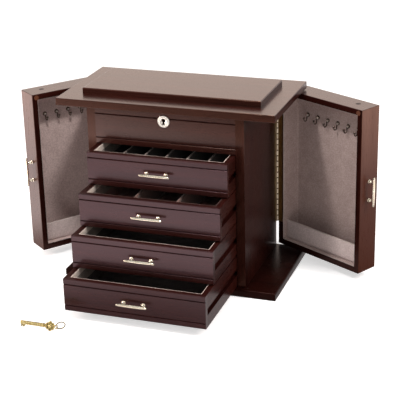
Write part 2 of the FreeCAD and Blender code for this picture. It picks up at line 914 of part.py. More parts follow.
def hinge_leaf(name, hand, on_body):
    """One leaf with its knuckles, drawn about the pin's axis, on the given hand of it."""
    near = "(door_axis_out - leaf_thickness)"
    low, high = mirrored(hand, near, "door_axis_out")
    own = "hinge_low" if on_body else "hinge_low + knuckle_pitch"
    other = "hinge_low + knuckle_pitch" if on_body else "hinge_low"
    body = new_body(name)
    plate = new_sketch(body, f"{name}_plate", "XY_Plane", "hinge_low")
    rectangle(plate, (low, "-leaf_width"), (high, "-leaf_curl"))
    pad(body, plate, "2 * knuckle_pitch * knuckle_pairs")
    notch = new_sketch(body, f"{name}_notch", "XY_Plane", f"{other} - knuckle_gap")
    rectangle(notch, ("-2 * door_axis_out", "-leaf_clear"), ("2 * door_axis_out", "0"))
    notch_cut = pocket(body, notch, "knuckle_pitch + 2 * knuckle_gap", reverse=True)
    repeat(body, notch_cut, "2 * knuckle_pitch", "knuckle_pairs")
    knuckle = new_sketch(body, f"{name}_knuckle", "XY_Plane", f"{own} + knuckle_gap / 2")
    flat_sided(knuckle, ("0", "0"), "knuckle_radius", KNUCKLE_SIDES)
    knuckle_pad = pad(body, knuckle, "knuckle_pitch - knuckle_gap")
    repeat(body, knuckle_pad, "2 * knuckle_pitch", "knuckle_pairs")
    bore = new_sketch(body, f"{name}_bore", "XY_Plane", "hinge_low - knuckle_pitch")
    flats = f"(pin_radius + pin_gap) / cos({180 / KNUCKLE_SIDES})"
    flat_sided(bore, ("0", "0"), flats, KNUCKLE_SIDES)
    pocket(body, bore, "2 * knuckle_pitch * (knuckle_pairs + 2)", reverse=True)
    return body


def at_hinge(thing, word, turned=True):
    """Place a piece drawn about the door's hinge axis, turned with the open door."""
    side = "-1" if word == "left" else "1"
    angle = f"{word}_door_angle" if turned else None
    place(thing, f"{side} * (body_width / 2 + door_axis_out)", f"{BACK} + door_axis_back", "0", angle)
    return thing


def door_hinge_fixed_parts():
    leaves = []
    pins = []
    for word, side in SIDES.items():
        leaves.append(at_hinge(hinge_leaf(f"body_hinge_leaf_{word}", -side, True), word, turned=False))
        centre = f"{side} * (body_width / 2 + door_axis_out)"
        axis_y = f"{BACK} + door_axis_back"
        length = "(2 * knuckle_pitch * knuckle_pairs)"
        shaft = rod(f"pin_shaft_{word}", "z", (centre, axis_y, "hinge_low"), length, "pin_radius")
        head = rod(
            f"pin_head_{word}", "z", (centre, axis_y, f"hinge_low + {length}"),
            "pin_head", "knuckle_radius", KNUCKLE_SIDES,
        )
        foot = rod(
            f"pin_foot_{word}", "z", (centre, axis_y, "hinge_low - pin_head"),
            "pin_head", "knuckle_radius", KNUCKLE_SIDES,
        )
        pins.append(fuse(f"hinge_pin_{word}", [shaft, head, foot]))
    group("door_hinge_body_leaves", leaves)
    group("door_hinge_pins", pins)


# Doors: shallow cases that swing out from the sides, drawn about the hinge axis.
# A door's length runs along -Y from the axis, and its depth outward from the body.

DOOR_OUT = "(door_rim + door_depth)"
DOOR_END = "(door_axis_back + door_length)"
DOOR_LOW = "(base_height + door_rise)"
DOOR_HIGH = f"({DOOR_LOW} + door_height)"
DOOR_PANEL_OUT = f"({DOOR_OUT} - door_panel_recess)"
DOOR_PANEL_IN = f"({DOOR_PANEL_OUT} - door_panel_thickness)"
DOOR_FLOOR = f"({DOOR_PANEL_IN} - door_lining)"


def door_block(name, side, near, far, margin, low=None, high=None):
    """A box in a door, between two depths, drawn in from the case's outline by a margin."""
    start, end = mirrored(side, near, far)
    return block(
        name,
        (start, f"-({DOOR_END} - ({margin}))", low or f"{DOOR_LOW} + {margin}"),
        (end, f"-(door_axis_back + {margin})", high or f"{DOOR_HIGH} - ({margin})"),
    )


def door_case(word, side):
    """Four mitred rails as one frame, grooved inside for the outer panel."""
    name = f"door_{word}_case"
    start, end = mirrored(side, "door_rim", DOOR_OUT)
    body = board(name, (start, f"-{DOOR_END}", DOOR_LOW), (end, "-door_axis_back", DOOR_HIGH))
    ease(body, [("ZMax", "YMin"), ("ZMin", "YMin"), ("ZMax", "XMin"), ("ZMax", "XMax"),
                ("YMin", "XMin"), ("YMin", "XMax")], "door_ease", "Chamfer")
    openings = {
        "cavity": ("door_rim", DOOR_OUT, "door_wall"),
        "panel_groove": (DOOR_PANEL_IN, DOOR_PANEL_OUT, "door_wall - door_panel_tongue"),
    }
    for use, (near, far, margin) in openings.items():
        low, high = mirrored(side, near, far)
        sketch = new_sketch(body, f"{name}_{use}", "XY_Plane", f"{DOOR_LOW} + {margin}")
        rectangle(sketch, (low, f"-({DOOR_END} - ({margin}))"), (high, f"-(door_axis_back + {margin})"))
        pocket(body, sketch, f"door_height - 2 * ({margin})", reverse=True)
    magnet = new_sketch(body, f"{name}_magnet_seat", "XY_Plane", f"{DOOR_HIGH} - magnet_thickness")
    flat_sided(magnet, (f"{side} * magnet_depth", "-magnet_place"), "magnet_radius", DISC_SIDES)
    pocket(body, magnet, "2 * magnet_thickness", reverse=True)
    at_hinge(body, word)


def door_panel(word, side):
    margin = "(door_wall - door_panel_tongue)"
    low, high = mirrored(side, DOOR_PANEL_IN, DOOR_PANEL_OUT)
    at_hinge(board(
        f"door_{word}_panel",
        (low, f"-({DOOR_END} - {margin})", f"{DOOR_LOW} + {margin}"),
        (high, f"-(door_axis_back + {margin})", f"{DOOR_HIGH} - {margin}"),
    ), word)


def door_lining(word, side):
    """Fabric over the panel's inside and the inner faces of the rails."""
    name = f"door_{word}_lining"
    skin = door_block(f"{name}_skin", side, "door_rim + door_lining_drop", DOOR_PANEL_IN, "door_wall")
    hollow = door_block(
        f"{name}_hollow", side, "door_rim + door_lining_drop", DOOR_FLOOR, "(door_wall + door_lining)",
    )
    at_hinge(node(cut(name, skin, [hollow]), name), word)


def door_pocket(word, side):
    """The padded board that makes a catch pocket across the door's bottom."""
    margin = "(door_wall + door_lining)"
    low, high = mirrored(side, "door_rim + pocket_depth", "door_rim + pocket_depth + pocket_thickness")
    body = board(
        f"door_{word}_pocket",
        (low, f"-({DOOR_END} - {margin})", f"{DOOR_LOW} + {margin}"),
        (high, f"-(door_axis_back + {margin})", f"{DOOR_LOW} + {margin} + pocket_height"),
    )
    ease(body, [("ZMax", "XMin"), ("ZMax", "XMax")], "pocket_round")
    at_hinge(body, word)


def hook_bend(name, centre):
    """The upturned bend of a hook: the lower half of a flat ring."""
    rings = [
        rod(f"{name}_{use}", "y", centre, "2 * hook_wire", radius, HOOK_SIDES)
        for use, radius in (("outside", "hook_bend + hook_wire"), ("inside", "hook_bend - hook_wire"))
    ]
    x, y, z = centre
    reach = "(hook_bend + hook_wire)"
    above = block(
        f"{name}_above", (f"{x} - {reach}", y, z), (f"{x} + {reach}", f"{y} + 2 * hook_wire", f"{z} + {reach}"),
    )
    return cut(name, rings[0], [rings[1], above])


def door_hooks(word, side):
    """Six small necklace hooks on the panel: plate, stem, upturned bend and knob."""
    hooks = []
    plate_start, plate_end = mirrored(side, f"{DOOR_FLOOR} - hook_plate_thickness", DOOR_FLOOR)
    middle = f"({DOOR_FLOOR} - hook_stem - hook_bend)"
    stem_low, stem_high = mirrored(side, f"{middle} + hook_bend - hook_wire", DOOR_FLOOR)
    tip = f"{middle} - hook_bend"
    tip_low, tip_high = mirrored(side, f"{tip} - hook_wire", f"{tip} + hook_wire")
    for index in range(HOOKS):
        where = f"-(hook_first + {index} * hook_spacing)"
        tag = f"{word}_{index + 1}"
        plate = rod(
            f"hook_plate_{tag}", "x", (plate_start, where, "hook_height"),
            f"({plate_end}) - ({plate_start})", "hook_plate_radius", HOOK_SIDES,
        )
        stem = block(
            f"hook_stem_{tag}",
            (stem_low, f"{where} - hook_wire", "hook_height - hook_wire"),
            (stem_high, f"{where} + hook_wire", "hook_height + hook_wire"),
        )
        rise = block(
            f"hook_rise_{tag}",
            (tip_low, f"{where} - hook_wire", "hook_height - hook_wire"),
            (tip_high, f"{where} + hook_wire", "hook_height + hook_tip"),
        )
        knob_centre = (f"{side} * ({tip})", f"{where} - hook_wire", "hook_height + hook_tip")
        knob = rod(f"hook_knob_{tag}", "y", knob_centre, "2 * hook_wire", "hook_knob", HOOK_SIDES)
        bend_centre = (f"{side} * {middle}", f"{where} - hook_wire", "hook_height - hook_wire")
        bend = hook_bend(f"hook_bend_{tag}", bend_centre)
        hooks.append(fuse(f"hook_{tag}", [plate, stem, bend, rise, knob]))
    at_hinge(group(f"door_{word}_hooks", hooks), word)


def door_small_parts(word, side):
    """The magnet let into the top edge and the bumper on the rim's upper outer corner."""
    magnet = new_body(f"door_{word}_magnet")
    disc = new_sketch(magnet, f"{magnet.Name}_disc", "XY_Plane", f"{DOOR_HIGH} - magnet_thickness")
    flat_sided(disc, (f"{side} * magnet_depth", "-magnet_place"), "magnet_radius", DISC_SIDES)
    pad(magnet, disc, "magnet_thickness")
    at_hinge(magnet, word)
    bumper = new_body(f"door_{word}_bumper")
    low, high = mirrored(side, "door_rim - bumper_thickness", "door_rim")
    dot = new_sketch(bumper, f"{bumper.Name}_dot", "YZ_Plane", low)
    flat_sided(dot, ("-bumper_place", f"{DOOR_HIGH} - bumper_drop"), "bumper_radius", DISC_SIDES)
    pad(bumper, dot, "bumper_thickness")
    at_hinge(bumper, word)


def door(word, side):
    door_case(word, side)
    door_panel(word, side)
    door_lining(word, side)
    door_pocket(word, side)
    door_hooks(word, side)
    door_small_parts(word, side)
    at_hinge(node(hinge_leaf(f"door_{word}_hinge_leaf", side, False), f"door_{word}_hinge_leaf"), word)
    centre = (f"{side} * (door_rim + door_pull_depth)", f"-{DOOR_END}", "door_pull_height")
    at_hinge(pull(f"door_{word}_pull", "z", centre), word)


# Pulls: a straight bar on two posts, standing out along -Y from the given centre of its seat.


def pull(name, along, centre):
    x, y, z = centre
    body = new_body(name)
    posts = new_sketch(body, f"{name}_posts", "XZ_Plane", f"-({y})")
    for end in ("-", "+"):
        offset = f"{end} post_spacing / 2"
        seat = (f"{x} {offset}", z) if along == "x" else (x, f"{z} {offset}")
        flat_sided(posts, seat, "post_radius", POST_SIDES)
    pad(body, posts, "pull_reach")
    plane, level = ("YZ_Plane", x) if along == "x" else ("XY_Plane", z)
    bar = new_sketch(body, f"{name}_bar", plane, level)
    centre = (f"{y} - pull_reach", z) if along == "x" else (x, f"{y} - pull_reach")
    circle(bar, centre, "pull_radius")
    pad(body, bar, "pull_length", midplane=True)
    return body


# Drawers, drawn with the front's lower middle edge at the origin.


def at_drawer(thing, number):
    place(thing, "0", f"{FRONT} - open_{number}", drawer_base(number))
    return thing


def drawer_front(number):
    body = grooved_board(
        f"drawer_{number}_front", "0", "front_thickness", "0", "drawer_height", "drawer_width",
    )
    ease(body, [("YMin", "ZMax"), ("YMin", "ZMin")], "front_ease")
    at_drawer(body, number)


def drawer_box(number):
    """Two slotted sides, a back and a bottom, glued up as one tray behind the front."""
    name = f"drawer_{number}_box"
    blank = block(
        f"{name}_blank",
        ("-drawer_width / 2", "front_thickness", "0"),
        ("drawer_width / 2", "drawer_length", "drawer_height"),
    )
    inside = "(drawer_width / 2 - drawer_wall)"
    cuts = [block(
        f"{name}_inside",
        (f"-{inside}", "front_thickness", "drawer_bottom"),
        (inside, "drawer_length - drawer_wall", "drawer_height"),
    )]
    for word, side in SIDES.items():
        near, far = mirrored(side, "drawer_width / 2 - slot_depth", "drawer_width / 2")
        cuts.append(block(
            f"{name}_slot_{word}",
            (near, "front_thickness", "slot_rise"),
            (far, "drawer_length", "slot_rise + slot_height"),
        ))
    at_drawer(node(cut(name, blank, cuts), name), number)


def drawer_lining(number):
    """A fabric tray that covers the bottom, the walls and the inside of the front."""
    name = f"drawer_{number}_lining"
    outer = "(drawer_width / 2 - drawer_wall)"
    inner = f"({outer} - lining_wall)"
    skin = block(
        f"{name}_skin",
        (f"-{outer}", "front_thickness", "drawer_bottom"),
        (outer, "drawer_length - drawer_wall", "drawer_height - lining_drop"),
    )
    hollow = block(
        f"{name}_hollow",
        (f"-{inner}", "front_thickness + lining_wall", "drawer_bottom + lining_floor"),
        (inner, "drawer_length - drawer_wall - lining_wall", "drawer_height - lining_drop"),
    )
    at_drawer(node(cut(name, skin, [hollow]), name), number)


def drawer_dividers(number, count, thickness, drop):
    """Padded boards that part a drawer into equal compartments."""
    inside = "(drawer_width / 2 - drawer_wall - lining_wall)"
    boards = []
    for index in range(1, count + 1):
        middle = f"(2 * {inside} * {index} / {count + 1} - {inside})"
        body = board(
            f"divider_{number}_{index}",
            (f"{middle} - {thickness} / 2", "front_thickness + lining_wall",
             "drawer_bottom + lining_floor"),
            (f"{middle} + {thickness} / 2", "drawer_length - drawer_wall - lining_wall",
             f"drawer_height - {drop}"),
        )
        ease(body, [("ZMax", "XMin"), ("ZMax", "XMax")], "divider_round", "Chamfer")
        boards.append(body)
    at_drawer(group(f"drawer_{number}_dividers", boards), number)


def drawer(number):
    drawer_front(number)
    drawer_box(number)
    drawer_lining(number)
    at_drawer(pull(f"drawer_{number}_pull", "x", ("0", "0", "drawer_height / 2")), number)


# Key with a pierced bow and its ring, drawn in its own plane and then leaned up.


def leaned(thing, x, y, z, angle):
    """Place a flat-drawn piece at a point and tilt it about the X direction."""
    thing.Placement.Rotation = FreeCAD.Rotation(AXES["x"], 1)
    place(thing, x, y, z, angle)


def key_blank(body):
    """Everything solid on the key: bow, eye, barrel, collar and bit."""
    bow = new_sketch(body, "key_bow", "XY_Plane")
    circle(bow, ("0", "0"), "bow_radius")
    pad(body, bow, "bow_thickness", midplane=True)
    eye = new_sketch(body, "key_eye", "XY_Plane")
    flat_sided(eye, ("eye_place", "0"), "eye_radius", DISC_SIDES)
    pad(body, eye, "eye_thickness", midplane=True)
    bit = new_sketch(body, "key_bit", "XY_Plane")
    rectangle(
        bit,
        ("-(barrel_length - bit_width / 4)", "-bit_reach"),
        ("-(barrel_length - 5 * bit_width / 4)", "-(barrel_bore + barrel_radius) / 2"),
    )
    pad(body, bit, "bit_thickness", midplane=True)
    barrel = new_sketch(body, "key_barrel", "YZ_Plane", "-barrel_length")
    circle(barrel, ("0", "0"), "barrel_radius")
    pad(body, barrel, "barrel_length - bow_radius + barrel_bore")
    collar = new_sketch(body, "key_collar", "YZ_Plane", "-collar_place")
    flat_sided(collar, ("0", "0"), "collar_radius", DISC_SIDES)
    pad(body, collar, "collar_length")


def key():
    """A barrel key with six petal holes in its bow, an eye for the ring and a notched bit."""
    body = new_body("key")
    key_blank(body)
    holes = {"centre": ("0", "0", "bow_centre_hole"), "eye": ("eye_place", "0", "eye_hole")}
    for index in range(PETALS):
        turn = 360 / PETALS * index
        holes[f"petal_{index + 1}"] = (
            f"bow_hole_place * cos({turn})", f"bow_hole_place * sin({turn})", "bow_hole",
        )
    for use, (x, y, radius) in holes.items():
        hole = new_sketch(body, f"key_hole_{use}", "XY_Plane")
        flat_sided(hole, (x, y), radius, PETAL_SIDES)
        pocket(body, hole, "2 * bow_thickness", midplane=True)
    middle = "(barrel_length - 3 * bit_width / 4)"
    notch = new_sketch(body, "key_notch", "XY_Plane")
    rectangle(
        notch,
        (f"-({middle} + bit_notch / 2)", "-bit_reach"),
        (f"-({middle} - bit_notch / 2)", "-(bit_reach + bit_notch) / 2"),
    )
    pocket(body, notch, "2 * bit_thickness", midplane=True)
    bore = new_sketch(body, "key_bore", "YZ_Plane", "-barrel_length")
    circle(bore, ("0", "0"), "barrel_bore")
    pocket(body, bore, "barrel_bore_depth", reverse=True)
    leaned(body, "key_x", "key_y", "key_z", "key_lean")


def key_ring():
    """The ring through the key's eye, its centre to the right of the eye and behind it."""
    body = new_body("key_ring")
    band = new_sketch(body, "ring_band", "XY_Plane")
    flat_sided(band, ("0", "0"), "(ring_radius + ring_wire)", RING_SIDES)
    flat_sided(band, ("0", "0"), "(ring_radius - ring_wire)", RING_SIDES)
    pad(body, band, "2 * ring_wire", midplane=True)
    back = "sqrt(ring_radius * ring_radius - ring_right * ring_right)"
    leaned(
        body,
        "key_x + eye_place + ring_right",
        f"key_y + {back} * cos(ring_lean)",
        f"key_z + {back} * sin(ring_lean)",
        "ring_lean",
    )


def build():
    base_plate()
    for word, side in SIDES.items():
        side_board(word, side)
    back_board()
    well_floor()
    fascia()
    drawer_runners()
    well_lining()
    ring_rolls()
    lock_case()
    escutcheon()
    door_hinge_fixed_parts()
    lid_hinge_body_leaves()
    lock_cam()
    lock_bolt()
    lid_slab()
    lid_raised_panel()
    mirror_frame()
    mirror_glass()
    strike_plate()
    lid_hinge_lid_leaves()
    for word, side in SIDES.items():
        door(word, side)
    for number in DRAWERS:
        drawer(number)
    drawer_dividers(1, 5, "divider_thickness", "divider_drop")
    drawer_dividers(2, 2, "wide_divider_thickness", "wide_divider_drop")
    key()
    key_ring()
    doc.recompute()


NODES = (
    ["base_plate", "side_board_left", "side_board_right", "back_board", "well_floor", "fascia",
     "drawer_runners", "well_lining", "ring_rolls", "lock_case", "escutcheon",
     "door_hinge_body_leaves", "door_hinge_pins", "lid_hinge_body_leaves", "lock_cam", "lock_bolt",
     "lid_slab", "lid_raised_panel", "mirror_frame", "mirror_glass", "strike_plate",
     "lid_hinge_lid_leaves", "key", "key_ring", "drawer_1_dividers", "drawer_2_dividers"]
    + [f"door_{word}_{piece}" for word in SIDES
       for piece in ("case", "panel", "lining", "pocket", "hooks", "hinge_leaf", "pull", "magnet", "bumper")]
    + [f"drawer_{number}_{piece}" for number in DRAWERS for piece in ("front", "box", "lining", "pull")]
)


def check_and_write():
    """Stop on anything that failed, then write each named piece to its own file."""
    for thing in doc.Objects:
        if any(state in thing.State for state in ("Invalid", "Error")):
            raise ValueError(f"{thing.Name} ({thing.Label}) failed: {thing.State}")
    os.makedirs("parts", exist_ok=True)
    for name in NODES:
        piece = next(
            thing for thing in doc.Objects
            if thing.Label == name and thing.isDerivedFrom("Part::Feature") and not thing.InList
        )
        shape = piece.Shape
        if shape.isNull() or not shape.isValid():
            raise ValueError(f"{name} has no sound shape")
        print(f"{name}: {len(shape.Solids)} solid(s), {shape.Volume:.1f} mm3")
        shape.exportStep(f"parts/{name}.step")


build()
check_and_write()
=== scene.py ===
import math

import bmesh
import bpy
from mathutils import Matrix, Vector, noise


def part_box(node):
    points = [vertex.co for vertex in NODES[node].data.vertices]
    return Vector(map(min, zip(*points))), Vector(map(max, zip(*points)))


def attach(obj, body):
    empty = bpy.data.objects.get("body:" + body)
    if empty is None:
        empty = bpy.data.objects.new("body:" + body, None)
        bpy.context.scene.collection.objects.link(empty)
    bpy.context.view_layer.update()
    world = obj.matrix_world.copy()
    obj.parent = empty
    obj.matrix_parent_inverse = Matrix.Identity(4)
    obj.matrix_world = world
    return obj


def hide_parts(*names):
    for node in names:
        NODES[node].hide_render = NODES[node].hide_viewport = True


# A wooden jewelry box, displayed open: lacquered cherry wood, suede linings, champagne fittings.
# Metres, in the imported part's own frame: the front faces -Y, +Z is up, the floor is at z = 0.

MM = 0.001

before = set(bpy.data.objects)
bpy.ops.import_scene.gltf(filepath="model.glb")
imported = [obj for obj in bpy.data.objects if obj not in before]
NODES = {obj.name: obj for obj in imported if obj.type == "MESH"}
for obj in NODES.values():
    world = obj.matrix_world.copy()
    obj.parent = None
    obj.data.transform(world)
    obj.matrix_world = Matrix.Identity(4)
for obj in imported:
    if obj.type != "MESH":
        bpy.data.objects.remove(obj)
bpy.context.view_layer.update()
SIDES = {"left": -1, "right": 1}
DRAWERS = (1, 2, 3, 4)

# The doors' hinge axes and the angles at which they stand open.
HINGE_X = 131.2 * MM
HINGE_Y = 94.4 * MM
DOOR_ANGLE = {"left": math.radians(-38.1), "right": math.radians(61.0)}

# A door's outline, from its hinge axis when closed: near and far end, bottom and top.
DOOR_NEAR = 1.9 * MM
DOOR_END = 182.9 * MM
DOOR_LOW = 15.6 * MM
DOOR_HIGH = 293.2 * MM
DOOR_RAIL = 9.3 * MM
PANEL_DEPTH = 37.8 * MM
DOOR_LINING_RISE = 35.6 * MM
POCKET_OUT = 25.1 * MM
PULL_DEPTH = 21.6 * MM
PULL_HEIGHT = 155.0 * MM

# The door hinges' foot, and the pitch of their knuckles.
HINGE_LOW = 57.0 * MM
KNUCKLE_PITCH = 9.8 * MM

# Camera, solved together with the proportions from points in the photograph.
CAMERA_PLACE = (0.66275, -1.79829, 0.88022)
CAMERA_YAW = 19.53
CAMERA_PITCH = -21.75
CAMERA_ROLL = -1.46
CAMERA_LENS = 111.67

# The room's light from above and around, and how white it is in front when mirrored.
LIGHT_ABOVE = 0.75
LIGHT_AROUND = 0.12
ROOM_IN_FRONT = 0.45

# How much of the floor's white is its own glow, which only camera rays see.
FLOOR_GLOW = 0.55
FLOOR_REACH = 6.0
WHITE = (1.0, 1.0, 1.0, 1.0)

# In reflections the floor glows as a painted reflection of a pale table: it ends in front of
# the object, is dimmer close to it as painted shade, and fades in again on its right.
TABLE_END = (-0.76, -0.60)
TABLE_NEAR = (0.28, 0.46)
TABLE_NEAR_PAINTED_SHADE_LEVEL = 0.25
TABLE_RIGHT = (0.35, 0.95)
TABLE_RIGHT_LEVELS = (0.2, 0.9)
TABLE_LEFT_OF = 0.3
TABLE_TINT = (1.0, 0.93, 0.92, 1.0)
TABLE_GLOW = 2.4

# Lamps: name, place, target, size, radiance, tint, and whether gloss mirrors it.
# A small lamp above, soft fill in front and at both sides, a warm panel behind.
SOFTBOXES = (
    (
        "key_lamp", (0.035, -0.38, 0.93), (0.035, 0.0, 0.15),
        (0.07, 0.07), 900.0, (1.0, 0.98, 0.96), True,
    ),
    (
        "fill_softbox", (0.9, -1.5, 0.75), (0.0, 0.0, 0.15),
        (0.8, 0.6), 4.0, (1.0, 0.96, 0.95), True,
    ),
    (
        "low_softbox", (-0.6, -1.3, 0.40), (-0.15, 0.0, 0.18),
        (0.6, 0.5), 12.0, (1.0, 0.95, 0.93), False,
    ),
    (
        "left_softbox", (-1.1, -0.35, 0.60), (-0.25, 0.0, 0.18),
        (0.5, 0.5), 34.0, (1.0, 0.84, 0.78), True,
    ),
    (
        "right_softbox", (0.95, 0.0, 0.75), (0.3, 0.03, 0.22),
        (0.4, 0.4), 50.0, (1.0, 0.90, 0.86), False,
    ),
    (
        "back_panel", (-0.8, 2.4, 1.10), (-0.2, 0.0, 0.3),
        (2.6, 1.0), 2.0, (1.0, 0.62, 0.37), True,
    ),
)


# Camera, floor, light.


def make_camera():
    data = bpy.data.cameras.new("camera")
    data.lens = CAMERA_LENS
    data.sensor_width = 36.0
    camera = bpy.data.objects.new("camera", data)
    turn = (
        Matrix.Rotation(math.radians(CAMERA_YAW), 4, "Z")
        @ Matrix.Rotation(math.radians(90 + CAMERA_PITCH), 4, "X")
        @ Matrix.Rotation(math.radians(CAMERA_ROLL), 4, "Z")
    )
    camera.matrix_world = Matrix.Translation(CAMERA_PLACE) @ turn
    bpy.context.scene.collection.objects.link(camera)
    bpy.context.scene.camera = camera


def softbox(name, place, target, size, radiance, tint, mirrored):
    """A rectangular area lamp that faces a target; radiance is the brightness of its surface."""
    data = bpy.data.lights.new(name, "AREA")
    data.shape = "RECTANGLE"
    data.size, data.size_y = size
    data.energy = radiance * size[0] * size[1]
    data.color = tint
    lamp = bpy.data.objects.new(name, data)
    aim = (Vector(target) - Vector(place)).to_track_quat("-Z", "Y")
    lamp.matrix_world = Matrix.Translation(place) @ aim.to_matrix().to_4x4()
    lamp.visible_camera = False
    lamp.visible_glossy = mirrored
    bpy.context.scene.collection.objects.link(lamp)


def filled(node, **values):
    """The node, with values set on its sockets."""
    for socket, value in values.items():
        node.inputs[socket.replace("_", " ")].default_value = value
    return node


def math_node(tree, operation, *values):
    node = tree.nodes.new("ShaderNodeMath")
    node.operation = operation
    for index, value in enumerate(values):
        if isinstance(value, (int, float)):
            node.inputs[index].default_value = value
        else:
            tree.links.new(value, node.inputs[index])
    return node.outputs[0]


def eased(tree, source, low, high, start, end):
    """A smooth step from one value to another between two limits of the source."""
    node = tree.nodes.new("ShaderNodeMapRange")
    node.interpolation_type = "SMOOTHSTEP"
    filled(node, From_Min=low, From_Max=high, To_Min=start, To_Max=end)
    tree.links.new(source, node.inputs["Value"])
    return node.outputs[0]


def make_world():
    """Plain light, most from above; white behind, seen or mirrored, and dimmer in front."""
    world = bpy.data.worlds.new("studio")
    bpy.context.scene.world = world
    world.use_nodes = True
    tree = world.node_tree
    tree.nodes.clear()
    light = filled(tree.nodes.new("ShaderNodeBackground"), Color=(1.0, 0.98, 0.97, 1.0))
    white = filled(tree.nodes.new("ShaderNodeBackground"), Color=WHITE)
    rays = tree.nodes.new("ShaderNodeLightPath")
    parts = tree.nodes.new("ShaderNodeSeparateXYZ")
    tree.links.new(tree.nodes.new("ShaderNodeTexCoord").outputs["Generated"], parts.inputs[0])
    sky = eased(tree, parts.outputs["Z"], 0.0, 0.9, LIGHT_AROUND, LIGHT_ABOVE)
    tree.links.new(sky, light.inputs["Strength"])
    mirrored = eased(tree, parts.outputs["Y"], -0.1, 0.5, ROOM_IN_FRONT, 1.0)
    level = math_node(tree, "MAXIMUM", mirrored, rays.outputs["Is Camera Ray"])
    tree.links.new(level, white.inputs["Strength"])
    seen = math_node(tree, "MAXIMUM", rays.outputs["Is Camera Ray"], rays.outputs["Is Glossy Ray"])
    mix = tree.nodes.new("ShaderNodeMixShader")
    tree.links.new(seen, mix.inputs["Fac"])
    tree.links.new(light.outputs[0], mix.inputs[1])
    tree.links.new(white.outputs[0], mix.inputs[2])
    output = tree.nodes.new("ShaderNodeOutputWorld")
    tree.links.new(mix.outputs[0], output.inputs["Surface"])


def make_floor():
    """A pale floor that keeps the object's shadow, and glows as a painted table in reflections."""
    mesh = bpy.data.meshes.new("floor")
    square = ((-1, -1), (1, -1), (1, 1), (-1, 1))
    corners = [(x * FLOOR_REACH, y * FLOOR_REACH, 0) for x, y in square]
    mesh.from_pydata(corners, [], [(0, 1, 2, 3)])
    floor = bpy.data.objects.new("floor", mesh)
    bpy.context.scene.collection.objects.link(floor)
    material = bpy.data.materials.new("pale_floor")
    material.use_nodes = True
    tree = material.node_tree
    shader = filled(
        tree.nodes["Principled BSDF"], Base_Color=(0.80, 0.80, 0.80, 1.0), Roughness=0.9,
        Specular_IOR_Level=0.0, Emission_Color=WHITE,
    )
    rays = tree.nodes.new("ShaderNodeLightPath")
    glow = math_node(tree, "MULTIPLY", rays.outputs["Is Camera Ray"], FLOOR_GLOW)
    tree.links.new(glow, shader.inputs["Emission Strength"])
    mirrored = filled(tree.nodes.new("ShaderNodeEmission"), Color=TABLE_TINT)
    # A plain mirror shows the floor white all over.
    level = math_node(tree, "MAXIMUM", painted_table_glow(tree), rays.outputs["Is Singular Ray"])
    tree.links.new(level, mirrored.inputs["Strength"])
    mix = tree.nodes.new("ShaderNodeMixShader")
    tree.links.new(rays.outputs["Is Glossy Ray"], mix.inputs["Fac"])
    tree.links.new(shader.outputs[0], mix.inputs[1])
    tree.links.new(mirrored.outputs[0], mix.inputs[2])
    tree.links.new(mix.outputs[0], tree.nodes["Material Output"].inputs["Surface"])
    mesh.materials.append(material)


def painted_table_glow(tree):
    """How brightly each place of the floor glows in a reflection: painted reflection, dimmer near
    the object as painted shade.
    """
    place = tree.nodes.new("ShaderNodeTexCoord").outputs["Object"]
    yaw = math.radians(CAMERA_YAW)
    facing = tree.nodes.new("ShaderNodeVectorMath")
    facing.operation = "DOT_PRODUCT"
    facing.inputs[1].default_value = (-math.sin(yaw), math.cos(yaw), 0.0)
    tree.links.new(place, facing.inputs[0])
    away = tree.nodes.new("ShaderNodeVectorMath")
    away.operation = "LENGTH"
    tree.links.new(place, away.inputs[0])
    across = tree.nodes.new("ShaderNodeSeparateXYZ")
    tree.links.new(place, across.inputs[0])
    table = math_node(
        tree, "MULTIPLY",
        eased(tree, facing.outputs["Value"], *TABLE_END, 0.0, 1.0),
        eased(tree, away.outputs["Value"], *TABLE_NEAR, TABLE_NEAR_PAINTED_SHADE_LEVEL, 1.0),
    )
    right = eased(tree, across.outputs["X"], *TABLE_RIGHT, *TABLE_RIGHT_LEVELS)
    left = math_node(tree, "LESS_THAN", across.outputs["X"], TABLE_LEFT_OF)
    table = math_node(tree, "MULTIPLY", table, math_node(tree, "MAXIMUM", left, right))
    return math_node(tree, "MULTIPLY", table, TABLE_GLOW)


# Materials.


